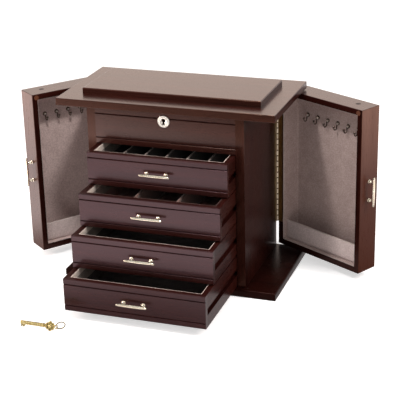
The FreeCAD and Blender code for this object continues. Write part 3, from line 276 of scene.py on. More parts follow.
class Material:
    """A Principled material with short calls for the nodes that feed it."""

    def __init__(self, name, **settings):
        self.made = bpy.data.materials.new(name)
        self.made.use_nodes = True
        self.tree = self.made.node_tree
        self.shader = filled(self.tree.nodes["Principled BSDF"], **settings)
        self.place = self.new("ShaderNodeTexCoord").outputs["Object"]

    def new(self, kind, **settings):
        node = self.tree.nodes.new(kind)
        for name, value in settings.items():
            setattr(node, name, value)
        return node

    def feed(self, source, node, socket):
        self.tree.links.new(source, node.inputs[socket])

    def scaled(self, coordinates, scale):
        mapping = filled(self.new("ShaderNodeMapping"), Scale=scale)
        self.feed(coordinates, mapping, "Vector")
        return mapping.outputs[0]

    def split(self, coordinates):
        parts = self.new("ShaderNodeSeparateXYZ")
        self.feed(coordinates, parts, "Vector")
        return parts.outputs

    def noise(self, coordinates, scale, detail=4.0, roughness=0.55, distortion=0.0):
        node = filled(
            self.new("ShaderNodeTexNoise"),
            Scale=scale, Detail=detail, Roughness=roughness, Distortion=distortion,
        )
        self.feed(coordinates, node, "Vector")
        return node.outputs["Fac"]

    def ramp(self, source, stops):
        """Colours at positions from 0 to 1 of the source."""
        node = self.new("ShaderNodeValToRGB")
        ramp = node.color_ramp
        for index, (position, colour) in enumerate(stops):
            stop = ramp.elements[index] if index < 2 else ramp.elements.new(position)
            stop.position = position
            stop.color = (*colour, 1.0)
        self.feed(source, node, "Fac")
        return node.outputs["Color"]

    def span(self, source, low, high, start=0.0, end=1.0):
        """The source's range from start to end, laid over the range from low to high."""
        node = self.new("ShaderNodeMapRange")
        filled(node, From_Min=start, From_Max=end, To_Min=low, To_Max=high)
        self.feed(source, node, "Value")
        return node.outputs[0]

    def math(self, operation, *values):
        return math_node(self.tree, operation, *values)

    def weighed(self, first, second, share):
        """Two patterns mixed, the first with this share."""
        return self.math(
            "ADD", self.math("MULTIPLY", first, share), self.math("MULTIPLY", second, 1.0 - share),
        )

    def blend(self, factor, first, second):
        node = self.new("ShaderNodeMix", data_type="RGBA")
        for socket, value in ((0, factor), (6, first), (7, second)):
            if isinstance(value, float):
                node.inputs[socket].default_value = value
            elif isinstance(value, tuple):
                node.inputs[socket].default_value = (*value, 1.0)
            else:
                self.feed(value, node, socket)
        return node.outputs[2]

    def bump(self, height, strength, distance, socket="Normal"):
        node = filled(self.new("ShaderNodeBump"), Strength=strength, Distance=distance)
        self.feed(height, node, "Height")
        self.feed(node.outputs[0], self.shader, socket)

    def colour(self, source):
        self.feed(source, self.shader, "Base Color")

    def roughness(self, source):
        self.feed(source, self.shader, "Roughness")


# Stretched noise: wood grain along each axis, and brushed metal.
GRAIN = {"x": (0.9, 14.0, 14.0), "y": (14.0, 0.9, 14.0), "z": (14.0, 14.0, 0.9)}
BRUSHING = (400.0, 60.0, 400.0)

# Cherry stain; the doors' free ends are lighter, most of all towards the top, as painted light.
CHERRY_DARK = (0.0065, 0.0014, 0.0011)
CHERRY_LIGHT = (0.0320, 0.0062, 0.0042)
CHERRY_END_PAINTED_LIT = ((0.085, 0.0400, 0.0280), (0.150, 0.0740, 0.0520))
CHERRY_END_LOW_PAINTED_LIT = (0.050, 0.0150, 0.0090)
CHERRY_JOINT = (0.006, 0.002, 0.0016)
STAIN_SPAN = (0.30, 0.72)

# The gloss and coat of the doors' top edges, and of the side boards' front edges by the fascia.
DOOR_TOP_GLOSS, DOOR_TOP_COAT = 0.5, 0.2
STILE_GLOSS, STILE_COAT = 0.64, 0.30
STILE_DEPTH = 0.6 * MM
FACE_DEPTH = 0.4 * MM
MITRE_WIDTH = 0.35 * MM

# Each group of boards has its own lacquer, because their reflections differ in the photograph.
LACQUERS = {
    **{axis: {"along": axis} for axis in GRAIN},
    "lid": {"along": "x", "gloss": 0.60, "coat": 0.20, "haze": (1.0, 0.53, 0.36)},
    # The side boards and the base have their stain darkened as painted shade.
    "sides": {
        "along": "z", "gloss": 0.30, "coat": 0.02, "haze": (1.0, 0.44, 0.28),
        "painted_shade_tone": 0.85, "stile": True,
    },
    "base": {
        "along": "x", "gloss": 0.10, "coat": 0.02, "haze": (1.0, 0.55, 0.48), "painted_shade_tone": 0.5,
    },
    "fascia": {"along": "x", "gloss": 0.72, "coat": 0.36, "haze": (1.0, 0.60, 0.50)},
    "fronts": {"along": "x", "gloss": 0.46, "coat": 0.28, "haze": (1.0, 0.60, 0.70)},
    "low_front": {"along": "x", "gloss": 0.34, "coat": 0.22, "haze": (1.0, 0.62, 0.70)},
    "drawers": {"along": "y", "gloss": 0.20, "coat": 0.12, "haze": (1.0, 0.62, 0.66)},
    "door_left": {"door": "left", "gloss": 0.26, "coat": 0.12, "haze": (1.0, 0.54, 0.42)},
    "door_right": {"door": "right", "gloss": 0.13, "coat": 0.07, "haze": (1.0, 0.54, 0.42)},
}

# Suedes: the darker and the lighter shade of the nap.
SUEDES = {
    "plain": ((0.30, 0.235, 0.205), (0.40, 0.325, 0.285)),
    "cream": ((0.56, 0.46, 0.39), (0.72, 0.61, 0.53)),
    "edge": ((0.50, 0.41, 0.36), (0.64, 0.54, 0.48)),
    # Wall and floor shades of the drawer linings are painted shade, darker down the inner wall.
    "floor": ((0.030, 0.017, 0.013), (0.050, 0.030, 0.024)),
    "wall": ((0.20, 0.155, 0.13), (0.28, 0.225, 0.19)),
    # Drawer 2's brown floor suede is made lighter as painted light, so it shows in the shade under
    # drawer 1.
    "brown_floor": ((0.200, 0.100, 0.084), (0.290, 0.155, 0.132)),
    "brown_edge": ((0.080, 0.040, 0.033), (0.120, 0.062, 0.052)),
    "dark": ((0.020, 0.013, 0.010), (0.034, 0.022, 0.018)),
    "brown": ((0.110, 0.060, 0.047), (0.155, 0.090, 0.072)),
    "divider_edge": ((0.150, 0.115, 0.100), (0.210, 0.165, 0.145)),
    "pocket": ((0.500, 0.400, 0.380), (0.660, 0.550, 0.530)),
    "mauve_edge": ((0.44, 0.36, 0.33), (0.56, 0.47, 0.44)),
    # The left and right doors' copies of one mauve suede: the left lighter, the right darker, as
    # painted light and shade.
    "mauve_left": ((0.465, 0.345, 0.322), (0.650, 0.510, 0.480)),
    "mauve_right": ((0.320, 0.235, 0.215), (0.445, 0.340, 0.315)),
}

# Plated metals: name, bright colour, colour of the wear patches, roughness, and how fine the
# patches are;
# on the key's gold the dark patches are painted dark reflections, not wear.
METALS = {
    "champagne": ("champagne_plate", (1.00, 0.92, 0.76), (0.86, 0.75, 0.57), 0.25, 90.0),
    "rose": ("rose_plate", (1.00, 0.97, 0.90), (0.95, 0.89, 0.79), 0.36, 90.0),
    "brass": ("hinge_brass", (0.72, 0.55, 0.28), (0.50, 0.36, 0.17), 0.30, 90.0),
    "steel": ("dull_steel", (0.52, 0.50, 0.47), (0.40, 0.38, 0.36), 0.32, 90.0),
    "gold": ("key_gold", (0.98, 0.82, 0.42), (0.46, 0.32, 0.09), 0.14, 420.0),
    # The dark gold: painted shade in the key bow's openings; the key ring is drawn in it too.
    "dark_gold": ("recess_gold", (0.34, 0.25, 0.075), (0.13, 0.085, 0.018), 0.25, 420.0),
    "bronze": ("hook_bronze", (0.22, 0.17, 0.14), (0.11, 0.08, 0.065), 0.22, 420.0),
}

# The door hinges: leaf, and barrel with a painted highlight on each knuckle and dark joints between
# knuckles, widened by painted shade.
BARREL_RADIUS = 1.75 * MM
LEAF_DARK, LEAF_LIGHT = (0.29, 0.200, 0.100), (0.37, 0.262, 0.135)
KNUCKLE_HIGHLIGHT, KNUCKLE_JOINT_SHADE = (0.98, 0.91, 0.76), (0.10, 0.065, 0.032)


def mitred_frame(wood, word):
    """A door frame's coordinates, grain along each rail; its joint lines, free end, top, and the
    rise that grades the free end's painted light.
    """
    local = filled(
        wood.new("ShaderNodeMapping", vector_type="TEXTURE"),
        Location=(SIDES[word] * HINGE_X, HINGE_Y, 0.0), Rotation=(0.0, 0.0, DOOR_ANGLE[word]),
    )
    wood.feed(wood.place, local, "Vector")
    parts = wood.split(local.outputs[0])
    along = wood.math("MULTIPLY", parts["Y"], -1.0)
    height = parts["Z"]
    edges = []
    for value, low, high in ((along, DOOR_NEAR, DOOR_END), (height, DOOR_LOW, DOOR_HIGH)):
        edges.append(wood.math(
            "MINIMUM", wood.math("SUBTRACT", value, low), wood.math("SUBTRACT", high, value),
        ))
    apart = wood.math("SUBTRACT", *edges)
    rail = wood.math("GREATER_THAN", apart, 0.0)
    joint = wood.math("LESS_THAN", wood.math("ABSOLUTE", apart), MITRE_WIDTH)
    either = wood.new("ShaderNodeMix", data_type="VECTOR")
    wood.feed(rail, either, 0)
    for socket, axis in ((4, "z"), (5, "y")):
        wood.feed(wood.scaled(local.outputs[0], GRAIN[axis]), either, socket)
    end = wood.math("GREATER_THAN", along, DOOR_END - FACE_DEPTH)
    top = wood.math("GREATER_THAN", height, DOOR_HIGH - FACE_DEPTH)
    middle = DOOR_LOW + 0.55 * (DOOR_HIGH - DOOR_LOW)
    high = wood.span(height, 0.0, 1.0, middle, DOOR_HIGH)
    return either.outputs[1], joint, end, top, high


def beside_fascia(wood):
    """Where a side board's front edge stands beside the fascia."""
    low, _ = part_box("fascia")
    parts = wood.split(wood.place)
    front = wood.math("LESS_THAN", parts["Y"], low[1] + STILE_DEPTH)
    level = wood.span(parts["Z"], 0.0, 1.0, low[2] - 4.0 * MM, low[2] + 10.0 * MM)
    return wood.math("MULTIPLY", front, level)


def lacquer(
    name, along=None, door=None, stile=False,
    gloss=0.5, coat=0.3, haze=(1.0, 0.62, 0.60), painted_shade_tone=1.0,
):
    """Cherry-stained wood under a clear coat, its grain along one axis or round a door frame."""
    wood = Material(
        name, Specular_IOR_Level=gloss, Specular_Tint=(*haze, 1.0),
        Coat_Weight=coat, Coat_Roughness=0.12, Coat_IOR=1.5,
    )
    if door:
        place, joint, end, top, high = mitred_frame(wood, door)
        wood.feed(wood.span(top, gloss, DOOR_TOP_GLOSS), wood.shader, "Specular IOR Level")
        wood.feed(wood.span(top, coat, DOOR_TOP_COAT), wood.shader, "Coat Weight")
    else:
        place = wood.scaled(wood.place, GRAIN[along])
    if stile:
        beside = beside_fascia(wood)
        wood.feed(wood.span(beside, gloss, STILE_GLOSS), wood.shader, "Specular IOR Level")
        wood.feed(wood.span(beside, coat, STILE_COAT), wood.shader, "Coat Weight")
    figure = wood.noise(place, 5.0, detail=6.0, roughness=0.62, distortion=0.8)
    fibre = wood.noise(place, 60.0, detail=3.0, roughness=0.7)
    mixed = wood.weighed(figure, fibre, 0.7)
    # A value below 1 darkens the stain as painted shade.
    stains = [tuple(painted_shade_tone * value for value in colour) for colour in (CHERRY_DARK, CHERRY_LIGHT)]
    stain = wood.ramp(mixed, zip(STAIN_SPAN, stains))
    # The free end: painted light, lighter towards the top.
    if door:
        painted_end_light = wood.blend(high, CHERRY_END_LOW_PAINTED_LIT, wood.ramp(mixed, zip(STAIN_SPAN, CHERRY_END_PAINTED_LIT)))
        stain = wood.blend(end, stain, painted_end_light)
        stain = wood.blend(joint, stain, CHERRY_JOINT)
    wood.colour(stain)
    wood.roughness(wood.span(fibre, 0.22, 0.36))
    wood.bump(fibre, 0.12, 0.2 * MM)
    orange_peel = wood.noise(wood.place, 45.0, detail=2.0)
    wood.bump(orange_peel, 0.05, 0.4 * MM, "Coat Normal")
    return wood.made


def suede(name, shade, light):
    """Short-napped fabric, mottled where the nap lies differently."""
    cloth = Material(name, Specular_IOR_Level=0.15, Sheen_Weight=0.25, Sheen_Roughness=0.45)
    patches = cloth.noise(cloth.place, 55.0, detail=4.0, roughness=0.6)
    nap = cloth.noise(cloth.place, 420.0, detail=4.0, roughness=0.75)
    cloth.colour(cloth.ramp(cloth.weighed(patches, nap, 0.25), [(0.41, shade), (0.59, light)]))
    cloth.roughness(cloth.span(nap, 0.85, 1.0))
    cloth.bump(nap, 0.5, 0.4 * MM)
    return cloth.made


def brushed(name, bright, worn_and_painted_dark, roughness, patch):
    """Plated metal with fine brushing and duller patches: wear, and on the key's gold painted dark
    reflections.
    """
    metal = Material(name, Metallic=1.0)
    lines = metal.noise(metal.scaled(metal.place, BRUSHING), 3.0, detail=3.0, roughness=0.6)
    patches = metal.noise(metal.place, patch, detail=3.0)
    metal.colour(metal.ramp(patches, [(0.35, worn_and_painted_dark), (0.65, bright)]))
    metal.roughness(metal.span(lines, roughness - 0.07, roughness + 0.09))
    metal.bump(lines, 0.15, 0.08 * MM)
    return metal.made


def knuckled(name):
    """Hinge brass: dull leaves, and a barrel with a painted highlight on each knuckle and dark
    joints between them, widened by painted shade.
    """
    brass = Material(name, Metallic=1.0)
    parts = brass.split(brass.place)
    aside = brass.math("SUBTRACT", brass.math("ABSOLUTE", parts["X"]), HINGE_X)
    behind = brass.math("SUBTRACT", parts["Y"], HINGE_Y)
    squares = [
        brass.math("POWER", brass.math("ABSOLUTE", value), 2.0) for value in (aside, behind)
    ]
    barrel = brass.math("LESS_THAN", brass.math("ADD", *squares), BARREL_RADIUS ** 2)
    height = brass.math("SUBTRACT", parts["Z"], HINGE_LOW)
    share = brass.math("FRACT", brass.math("DIVIDE", height, KNUCKLE_PITCH))
    share = brass.math("ABSOLUTE", brass.math("SUBTRACT", share, 0.5))
    patches = brass.noise(brass.place, 120.0, detail=3.0)
    leaf = brass.ramp(patches, [(0.35, LEAF_DARK), (0.65, LEAF_LIGHT)])
    painted_knuckles = brass.ramp(share, [(0.36, KNUCKLE_HIGHLIGHT), (0.45, KNUCKLE_JOINT_SHADE)])
    brass.colour(brass.blend(barrel, leaf, painted_knuckles))
    brass.roughness(brass.span(patches, 0.32, 0.42))
    brass.bump(patches, 0.04, 0.1 * MM)
    return brass.made


def mirror(name):
    """A plain mirror with faint smudges."""
    glass = Material(name, Metallic=1.0, Roughness=0.0)
    smudges = glass.noise(glass.place, 14.0, detail=3.0)
    glass.colour(glass.ramp(smudges, [(0.3, (0.84, 0.86, 0.86)), (0.7, (0.90, 0.91, 0.91))]))
    return glass.made


def rubber(name, dark, light):
    """Dull rubber or plastic, finely speckled."""
    soft = Material(name, Specular_IOR_Level=0.4)
    speck = soft.noise(soft.place, 700.0, detail=3.0)
    soft.colour(soft.ramp(speck, [(0.3, dark), (0.7, light)]))
    soft.roughness(soft.span(speck, 0.45, 0.7))
    soft.bump(speck, 0.2, 0.1 * MM)
    return soft.made


def dress_nodes(suedes, metals):
    """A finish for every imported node, by what it is and which way its grain runs."""
    woods = {name: lacquer(f"lacquer_{name}", **look) for name, look in LACQUERS.items()}
    hinge = knuckled("knuckled_brass")
    stopper = rubber("amber_stop", (0.075, 0.022, 0.009), (0.110, 0.034, 0.014))
    plug = rubber("dark_plug", (0.016, 0.009, 0.007), (0.030, 0.016, 0.012))
    finishes = {
        "base_plate": woods["base"],
        "side_board_left": woods["sides"], "side_board_right": woods["sides"],
        "back_board": woods["z"], "well_floor": woods["x"], "fascia": woods["fascia"],
        "drawer_runners": woods["y"],
        "lid_slab": woods["lid"], "lid_raised_panel": woods["lid"],
        "mirror_frame": woods["x"], "mirror_glass": mirror("mirror_silver"),
        "escutcheon": metals["champagne"], "strike_plate": metals["champagne"],
        "key": metals["gold"], "key_ring": metals["gold"],
        "lock_case": metals["steel"], "lock_cam": metals["steel"], "lock_bolt": metals["steel"],
        "door_hinge_body_leaves": hinge, "door_hinge_pins": hinge,
        "lid_hinge_body_leaves": metals["brass"], "lid_hinge_lid_leaves": metals["brass"],
    }
    for number in DRAWERS:
        lowest = number == DRAWERS[-1]
        finishes[f"drawer_{number}_front"] = woods["low_front" if lowest else "fronts"]
        finishes[f"drawer_{number}_box"] = woods["drawers"]
        finishes[f"drawer_{number}_pull"] = metals["champagne"]
    for word in SIDES:
        finishes[f"door_{word}_case"] = woods[f"door_{word}"]
        finishes[f"door_{word}_panel"] = woods[f"door_{word}"]
        finishes[f"door_{word}_hinge_leaf"] = hinge
        finishes[f"door_{word}_pull"] = metals["champagne"]
        finishes[f"door_{word}_hooks"] = metals["bronze"]
        finishes[f"door_{word}_magnet"] = plug
        finishes[f"door_{word}_bumper"] = stopper
    for name, thing in NODES.items():
        thing.data.materials.clear()
        thing.data.materials.append(finishes.get(name, suedes["plain"]))


# Fabric pieces, skinned through loops of equally many points.

CORNER_STEPS = 4
STRAIGHT_STEPS = 8
RIM_STEPS = 6
FILLET_STEPS = 4
CLOTH_FRAMES = 20

# Distances from the ends, in millimetres, and how wide a board or a roll is there.
BOARD_ENDS = ((0.0, 0.70), (0.15, 0.86), (0.5, 0.96), (1.2, 1.0))
ROLL_ENDS = ((0.0, 0.30), (0.3, 0.62), (1.2, 0.86), (2.6, 0.97))


def outline_loop(corners, radius):
    """A path round the corners, each one rounded, with the straight runs divided."""
    count = len(corners)
    arcs = []
    for index, corner in enumerate(corners):
        here = Vector(corner)
        back = (Vector(corners[index - 1]) - here).normalized()
        ahead = (Vector(corners[(index + 1) % count]) - here).normalized()
        centre = here + radius * (back + ahead)
        arcs.append([
            centre - radius * (ahead * math.cos(angle) + back * math.sin(angle))
            for angle in (math.pi / 2 * step / CORNER_STEPS for step in range(CORNER_STEPS + 1))
        ])
    points = []
    for index, arc in enumerate(arcs):
        following = arcs[(index + 1) % count]
        points += arc
        points += [
            arc[-1].lerp(following[0], step / STRAIGHT_STEPS) for step in range(1, STRAIGHT_STEPS)
        ]
    return points


def corners_of(low, high, inset, stops=()):
    """A rectangle's corners, anticlockwise, with stops as extra points on its first side."""
    return [
        (low[0] + inset, low[1] + inset),
        *((stop, low[1] + inset) for stop in stops),
        (high[0] - inset, low[1] + inset),
        (high[0] - inset, high[1] - inset),
        (low[0] + inset, high[1] - inset),
    ]


def shown(name, build, materials):
    """The built mesh as a smooth-shaded piece of the scene."""
    for face in build.faces:
        face.smooth = True
    mesh = bpy.data.meshes.new(name)
    build.to_mesh(mesh)
    build.free()
    for material in materials:
        mesh.materials.append(material)
    piece = bpy.data.objects.new(name, mesh)
    bpy.context.scene.collection.objects.link(piece)
    return piece


def skinned(name, shells, materials, edge=None):
    """Closed skins through lists of loops; edge tells which material a face takes."""
    build = bmesh.new()
    for loops in shells:
        rows = [[build.verts.new(point) for point in loop] for loop in loops]
        count = len(rows[0])
        for band, (lower, upper) in enumerate(zip(rows, rows[1:])):
            for index in range(count):
                after = (index + 1) % count
                face = build.faces.new((lower[index], lower[after], upper[after], upper[index]))
                face.material_index = edge(band, index) if edge else 0
        build.faces.new(rows[0])
        build.faces.new(rows[-1]).material_index = edge(len(rows), 0) if edge else 0
    bmesh.ops.recalc_face_normals(build, faces=build.faces)
    return shown(name, build, materials)


def on_rim(band, _):
    """A tray's material: 1 on its rolled rim."""
    return 1 if 1 <= band <= RIM_STEPS else 0


def on_drawer(band, _):
    """A drawer tray's material: 3 on the upper part of the inner wall, 2 from there down; both are
    painted shade, darker towards the floor.
    """
    if band > RIM_STEPS + 3:
        return 2
    return 3 if band > RIM_STEPS + 1 else on_rim(band, _)


def on_top(_, index):
    """A board's material: 1 on its rounded top."""
    return 1 if 6 <= index <= 13 else 0


def tray_loops(corners, low, high, wall, floor, puff, place=None, lowered=None):
    """A tray open at the top: outer wall, rolled rim, inner wall, and a floor padded by puff."""
    rim = wall / 2
    bottom = low + floor
    fillet = min(2.5 * MM, (high - bottom) / 3)
    levels = [(0.0, low), (0.0, high - rim)]
    for step in range(1, RIM_STEPS + 1):
        angle = math.pi * step / RIM_STEPS
        levels.append((rim - rim * math.cos(angle), high - rim + rim * math.sin(angle)))
    for share in (0.2, 0.4, 0.6, 0.8, 0.92):
        levels.append((wall, (high - rim) * (1 - share) + (bottom + fillet) * share))
    for step in range(FILLET_STEPS + 1):
        angle = math.pi / 2 * step / FILLET_STEPS
        levels.append((
            wall + fillet * (1 - math.cos(angle)), bottom + fillet * (1 - math.sin(angle)),
        ))
    for share in (0.3, 0.6, 1.0):
        levels.append((
            wall + fillet + 9.0 * MM * share, bottom + puff * math.sin(math.pi / 2 * share),
        ))
    loops = []
    for inset, level in levels:
        loop = []
        for x, y in outline_loop(corners(inset), max(1.0 * MM - inset, 0.4 * MM)):
            point = Vector((x, y, lowered(x, y, level) if lowered else level))
            loop.append(place @ point if place else point)
        loops.append(loop)
    return loops


def stations(length, ends, shares):
    """Places along a piece, with its width there, narrower towards both ends."""
    return [
        *((distance * MM, scale) for distance, scale in ends),
        *((length * share, 1.0) for share in shares),
        *((length - distance * MM, scale) for distance, scale in reversed(ends)),
    ]


def board_loops(length, thickness, height, crown, place):
    """A padded board standing on its lower edge: its top rounded, its faces crowned."""
    half = thickness / 2
    side = [
        (half + crown * math.sin(math.pi * share), (height - half) * share)
        for share in (0.0, 0.1, 0.3, 0.5, 0.7, 0.9)
    ]
    top = [
        (half * math.cos(angle), height - half + half * math.sin(angle))
        for angle in (math.pi * step / 8 for step in range(9))
    ]
    profile = side + top + [(-across, up) for across, up in reversed(side)]
    return [
        [place @ Vector((along, across * scale, up - (1 - scale) * half)) for across, up in profile]
        for along, scale in stations(length, BOARD_ENDS, (0.2, 0.4, 0.6, 0.8))
    ]


def backwards(x, y, z):
    """A place from which a board runs towards the back."""
    return Matrix.Translation((x, y, z)) @ Matrix.Rotation(math.pi / 2, 4, "Z")


def roughened(piece, height, size, seed):
    """Push the skin in and out a little along its normals, as cloth over a board lies."""
    offset = Vector((seed * 3.7, seed * 1.3, seed * 7.9))
    normals = [vertex.normal.copy() for vertex in piece.data.vertices]
    for vertex, normal in zip(piece.data.vertices, normals):
        vertex.co += normal * height * noise.noise(vertex.co / size + offset)


def kept(piece):
    """Keep the piece as its modifiers show it now, and take them off."""
    bpy.context.view_layer.update()
    shape = piece.evaluated_get(bpy.context.evaluated_depsgraph_get())
    mesh = bpy.data.meshes.new_from_object(shape)
    piece.modifiers.clear()
    piece.data = mesh
    for face in mesh.polygons:
        face.use_smooth = True


def inflated(piece, voxel, pressure, cap):
    """Cloth simulation: the skin is remeshed, swells and wrinkles under pressure, and is kept."""
    remesh = piece.modifiers.new("remesh", "REMESH")
    remesh.mode = "VOXEL"
    remesh.voxel_size = voxel
    kept(piece)
    rest = [vertex.co.copy() for vertex in piece.data.vertices]
    cloth = piece.modifiers.new("cloth", "CLOTH")
    cloth.settings.quality = 5
    cloth.settings.mass = 0.15
    cloth.settings.bending_stiffness = 0.05
    cloth.settings.use_pressure = True
    cloth.settings.uniform_pressure_force = pressure
    cloth.settings.effector_weights.gravity = 0.0
    cloth.point_cache.frame_start = 1
    cloth.point_cache.frame_end = CLOTH_FRAMES
    for number in range(1, CLOTH_FRAMES + 1):
        bpy.context.scene.frame_set(number)
    kept(piece)
    bpy.context.scene.frame_set(1)
    for vertex, start in zip(piece.data.vertices, rest):
        move = vertex.co - start
        if move.length > cap:
            vertex.co = start + move * (cap / move.length)
    smooth = piece.modifiers.new("smooth", "SUBSURF")
    smooth.levels = smooth.render_levels = 1
    kept(piece)


def door_place(word):
    """From a door's own directions to where it stands: along it, up it and out of its tray."""
    side = SIDES[word]
    axis = Matrix.Translation((side * HINGE_X, HINGE_Y, 0.0))
    return axis @ Matrix.Rotation(DOOR_ANGLE[word], 4, "Z") @ Matrix((
        (0.0, 0.0, -side, side * PANEL_DEPTH),
        (-1.0, 0.0, 0.0, 0.0),
        (0.0, 1.0, 0.0, 0.0),
        (0.0, 0.0, 0.0, 1.0),
    ))


# The compartment boards are drawn this much further right than their solids.
DIVIDER_SHIFT = 2.5 * MM


def drawer_fabrics(suedes):
    for number in DRAWERS:
        low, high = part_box(f"drawer_{number}_lining")
        loops = tray_loops(
            lambda inset: corners_of(low, high, inset + 0.15 * MM),
            low[2] + 0.1 * MM, high[2] + 0.8 * MM, 1.2 * MM, 1.4 * MM, 0.6 * MM,
        )
        prefix = "brown_" if number == 2 else ""
        # Below the cream top of the inner wall, the wall and floor suedes darken the lining as
        # painted shade.
        names = ("cream", f"{prefix}edge", f"{prefix}floor", "wall")
        skins = [suedes[name] for name in names]
        lining = skinned(f"drawer_{number}_suede", [loops], skins, on_drawer)
        roughened(lining, 0.15 * MM, 0.02, number)
        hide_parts(f"drawer_{number}_lining")
        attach(lining, f"drawer_{number}")
    dividers = (
        (1, 5, 3.0 * MM, (suedes["dark"], suedes["divider_edge"])),
        (2, 2, 4.4 * MM, (suedes["brown"], suedes["brown"])),
    )
    for number, count, thickness, skins in dividers:
        node = f"drawer_{number}_dividers"
        low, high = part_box(node)
        length, height = high[1] - low[1] - 0.4 * MM, high[2] - low[2]
        pitch = (high[0] - low[0] - thickness) / (count - 1)
        shells = []
        for index in range(count):
            middle = low[0] + thickness / 2 + pitch * index + DIVIDER_SHIFT
            place = backwards(middle, low[1] + 0.2 * MM, low[2])
            shells.append(board_loops(length, thickness, height, 0.2 * MM, place))
        boards = skinned(f"drawer_{number}_suede_dividers", shells, skins, on_top)
        roughened(boards, 0.15 * MM, 0.012, 10 + number)
        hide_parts(node)
        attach(boards, f"drawer_{number}")


def door_fabrics(suedes):
    low = (DOOR_NEAR + DOOR_RAIL, DOOR_LOW + DOOR_RAIL)
    high = (DOOR_END - DOOR_RAIL, DOOR_HIGH - DOOR_RAIL)
    for word in SIDES:
        # Each door takes its own copy of the mauve suede, the left's lighter than the right's, as
        # painted light and shade.
        fabric = [suedes[f"mauve_{word}"], suedes["mauve_edge"]]
        place = door_place(word)
        loops = tray_loops(
            lambda inset: corners_of(low, high, inset + 0.1 * MM),
            0.1 * MM, DOOR_LINING_RISE, 1.0 * MM, 0.8 * MM, 0.1 * MM, place,
        )
        lining = skinned(f"door_{word}_suede", [loops], fabric, on_rim)
        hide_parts(f"door_{word}_lining")
        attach(lining, f"door_{word}")
        stand = place @ Matrix((
            (1.0, 0.0, 0.0, low[0] + 1.2 * MM),
            (0.0, 0.0, 1.0, low[1] + 1.0 * MM),
            (0.0, -1.0, 0.0, POCKET_OUT),
            (0.0, 0.0, 0.0, 1.0),
        ))
        board = skinned(
            f"door_{word}_suede_pocket",
            [board_loops(high[0] - low[0] - 2.4 * MM, 3.0 * MM, 32.7 * MM, 0.5 * MM, stand)],
            (suedes["pocket"], suedes["mauve_edge"]), on_top,
        )
        roughened(board, 0.3 * MM, 0.018, 20 + SIDES[word])
        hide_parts(f"door_{word}_pocket")
        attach(board, f"door_{word}")


WELL_PAD = 3.0 * MM
WELL_BOARD_X = 40.0 * MM


def well_fabrics(fabric):
    """The well's lining, its front wall lowered under the lock, and its two dividers."""
    low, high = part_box("well_lining")
    case_low, case_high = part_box("lock_case")
    stops = (case_low[0] - 0.6 * MM, case_high[0] + 0.6 * MM)
    under = case_low[2] - 0.3 * MM
    floor = low[2] + WELL_PAD

    def lowered(x, y, level):
        if y < case_high[1] and stops[0] < x < stops[1] and level > floor:
            return floor + (level - floor) / (high[2] - floor) * (under - floor)
        return level

    loops = tray_loops(
        lambda inset: corners_of(low, high, inset + 0.15 * MM, stops),
        low[2] + 0.1 * MM, high[2], 2.0 * MM, WELL_PAD, 0.0, lowered=lowered,
    )
    lining = skinned("well_suede", [loops], fabric, on_rim)
    roughened(lining, 0.2 * MM, 0.02, 31)
    length = high[1] - low[1] - 4.8 * MM
    shells = []
    for x in (-WELL_BOARD_X, WELL_BOARD_X):
        place = backwards(x, low[1] + 2.4 * MM, floor)
        shells.append(board_loops(length, 4.0 * MM, 27.0 * MM, 0.2 * MM, place))
    boards = skinned("well_suede_dividers", shells, fabric, on_top)
    roughened(boards, 0.2 * MM, 0.015, 32)
    for piece in (lining, boards):
        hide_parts("well_lining")
        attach(piece, "box")


ROLLS = 8
ROLL_RADIUS = 9.4 * MM
ROLL_STEPS = 28
ROLL_TUCKS = 7
TUCK_DEPTH = 0.10


def ring_rolls(fabric):
    """Padded rolls with tucked ends, side by side, a slit between neighbours for the rings."""
    low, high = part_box("ring_rolls")
    pitch = (high[1] - low[1] - 2 * ROLL_RADIUS) / (ROLLS - 1)
    length = high[0] - low[0] - 0.8 * MM
    radius = ROLL_RADIUS - 0.5 * MM
    for index in range(ROLLS):
        middle = (low[1] + ROLL_RADIUS + index * pitch, low[2] + ROLL_RADIUS)
        loops = []
        for along, scale in stations(length, ROLL_ENDS, (0.1, 0.3, 0.5, 0.7, 0.9)):
            loop = []
            for step in range(ROLL_STEPS):
                angle = 2 * math.pi * step / ROLL_STEPS
                tuck = 1.0 - TUCK_DEPTH * (1.0 - scale) * math.cos(ROLL_TUCKS * angle + index)
                loop.append((
                    low[0] + 0.4 * MM + along,
                    middle[0] + radius * scale * tuck * math.cos(angle),
                    middle[1] + radius * scale * tuck * math.sin(angle),
                ))
            loops.append(loop)
        roll = skinned(f"ring_roll_{index + 1}", [loops], fabric[:1])
        inflated(roll, voxel=1.4 * MM, pressure=4.0, cap=0.6 * MM)
        roughened(roll, 0.12 * MM, 0.008, 40 + index)
        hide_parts("ring_rolls")
        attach(roll, "box")


# Metal fittings, turned and swept. Their profiles are in millimetres.

SHARP_ANGLE = math.radians(40.0)
WIRE_SIDES = 12
RING_SIDES = 10


def closed(build, rings, capped=True, material=0):
    """Walls between neighbouring rings, and a face across each end."""
    count = len(rings[0])
    faces = []
    for lower, upper in zip(rings, rings[1:]):
        for index in range(count):
            after = (index + 1) % count
            faces.append(build.faces.new((lower[index], lower[after], upper[after], upper[index])))
    if capped:
        faces += [build.faces.new(rings[0]), build.faces.new(rings[-1])]
    for face in faces:
        face.material_index = material


def turned(build, start, direction, profile, sides=24, material=0):
    """A turned shape: rings at distances along a direction, each with its radius."""
    turn = Vector(direction).to_track_quat("Z", "Y").to_matrix()
    rings = []
    for distance, radius in profile:
        ring = []
        for step in range(sides):
            angle = 2 * math.pi * step / sides
            across, aside = radius * MM * math.cos(angle), radius * MM * math.sin(angle)
            point = turn @ Vector((across, aside, distance * MM))
            ring.append(build.verts.new(Vector(start) + point))
        rings.append(ring)
    closed(build, rings, material=material)


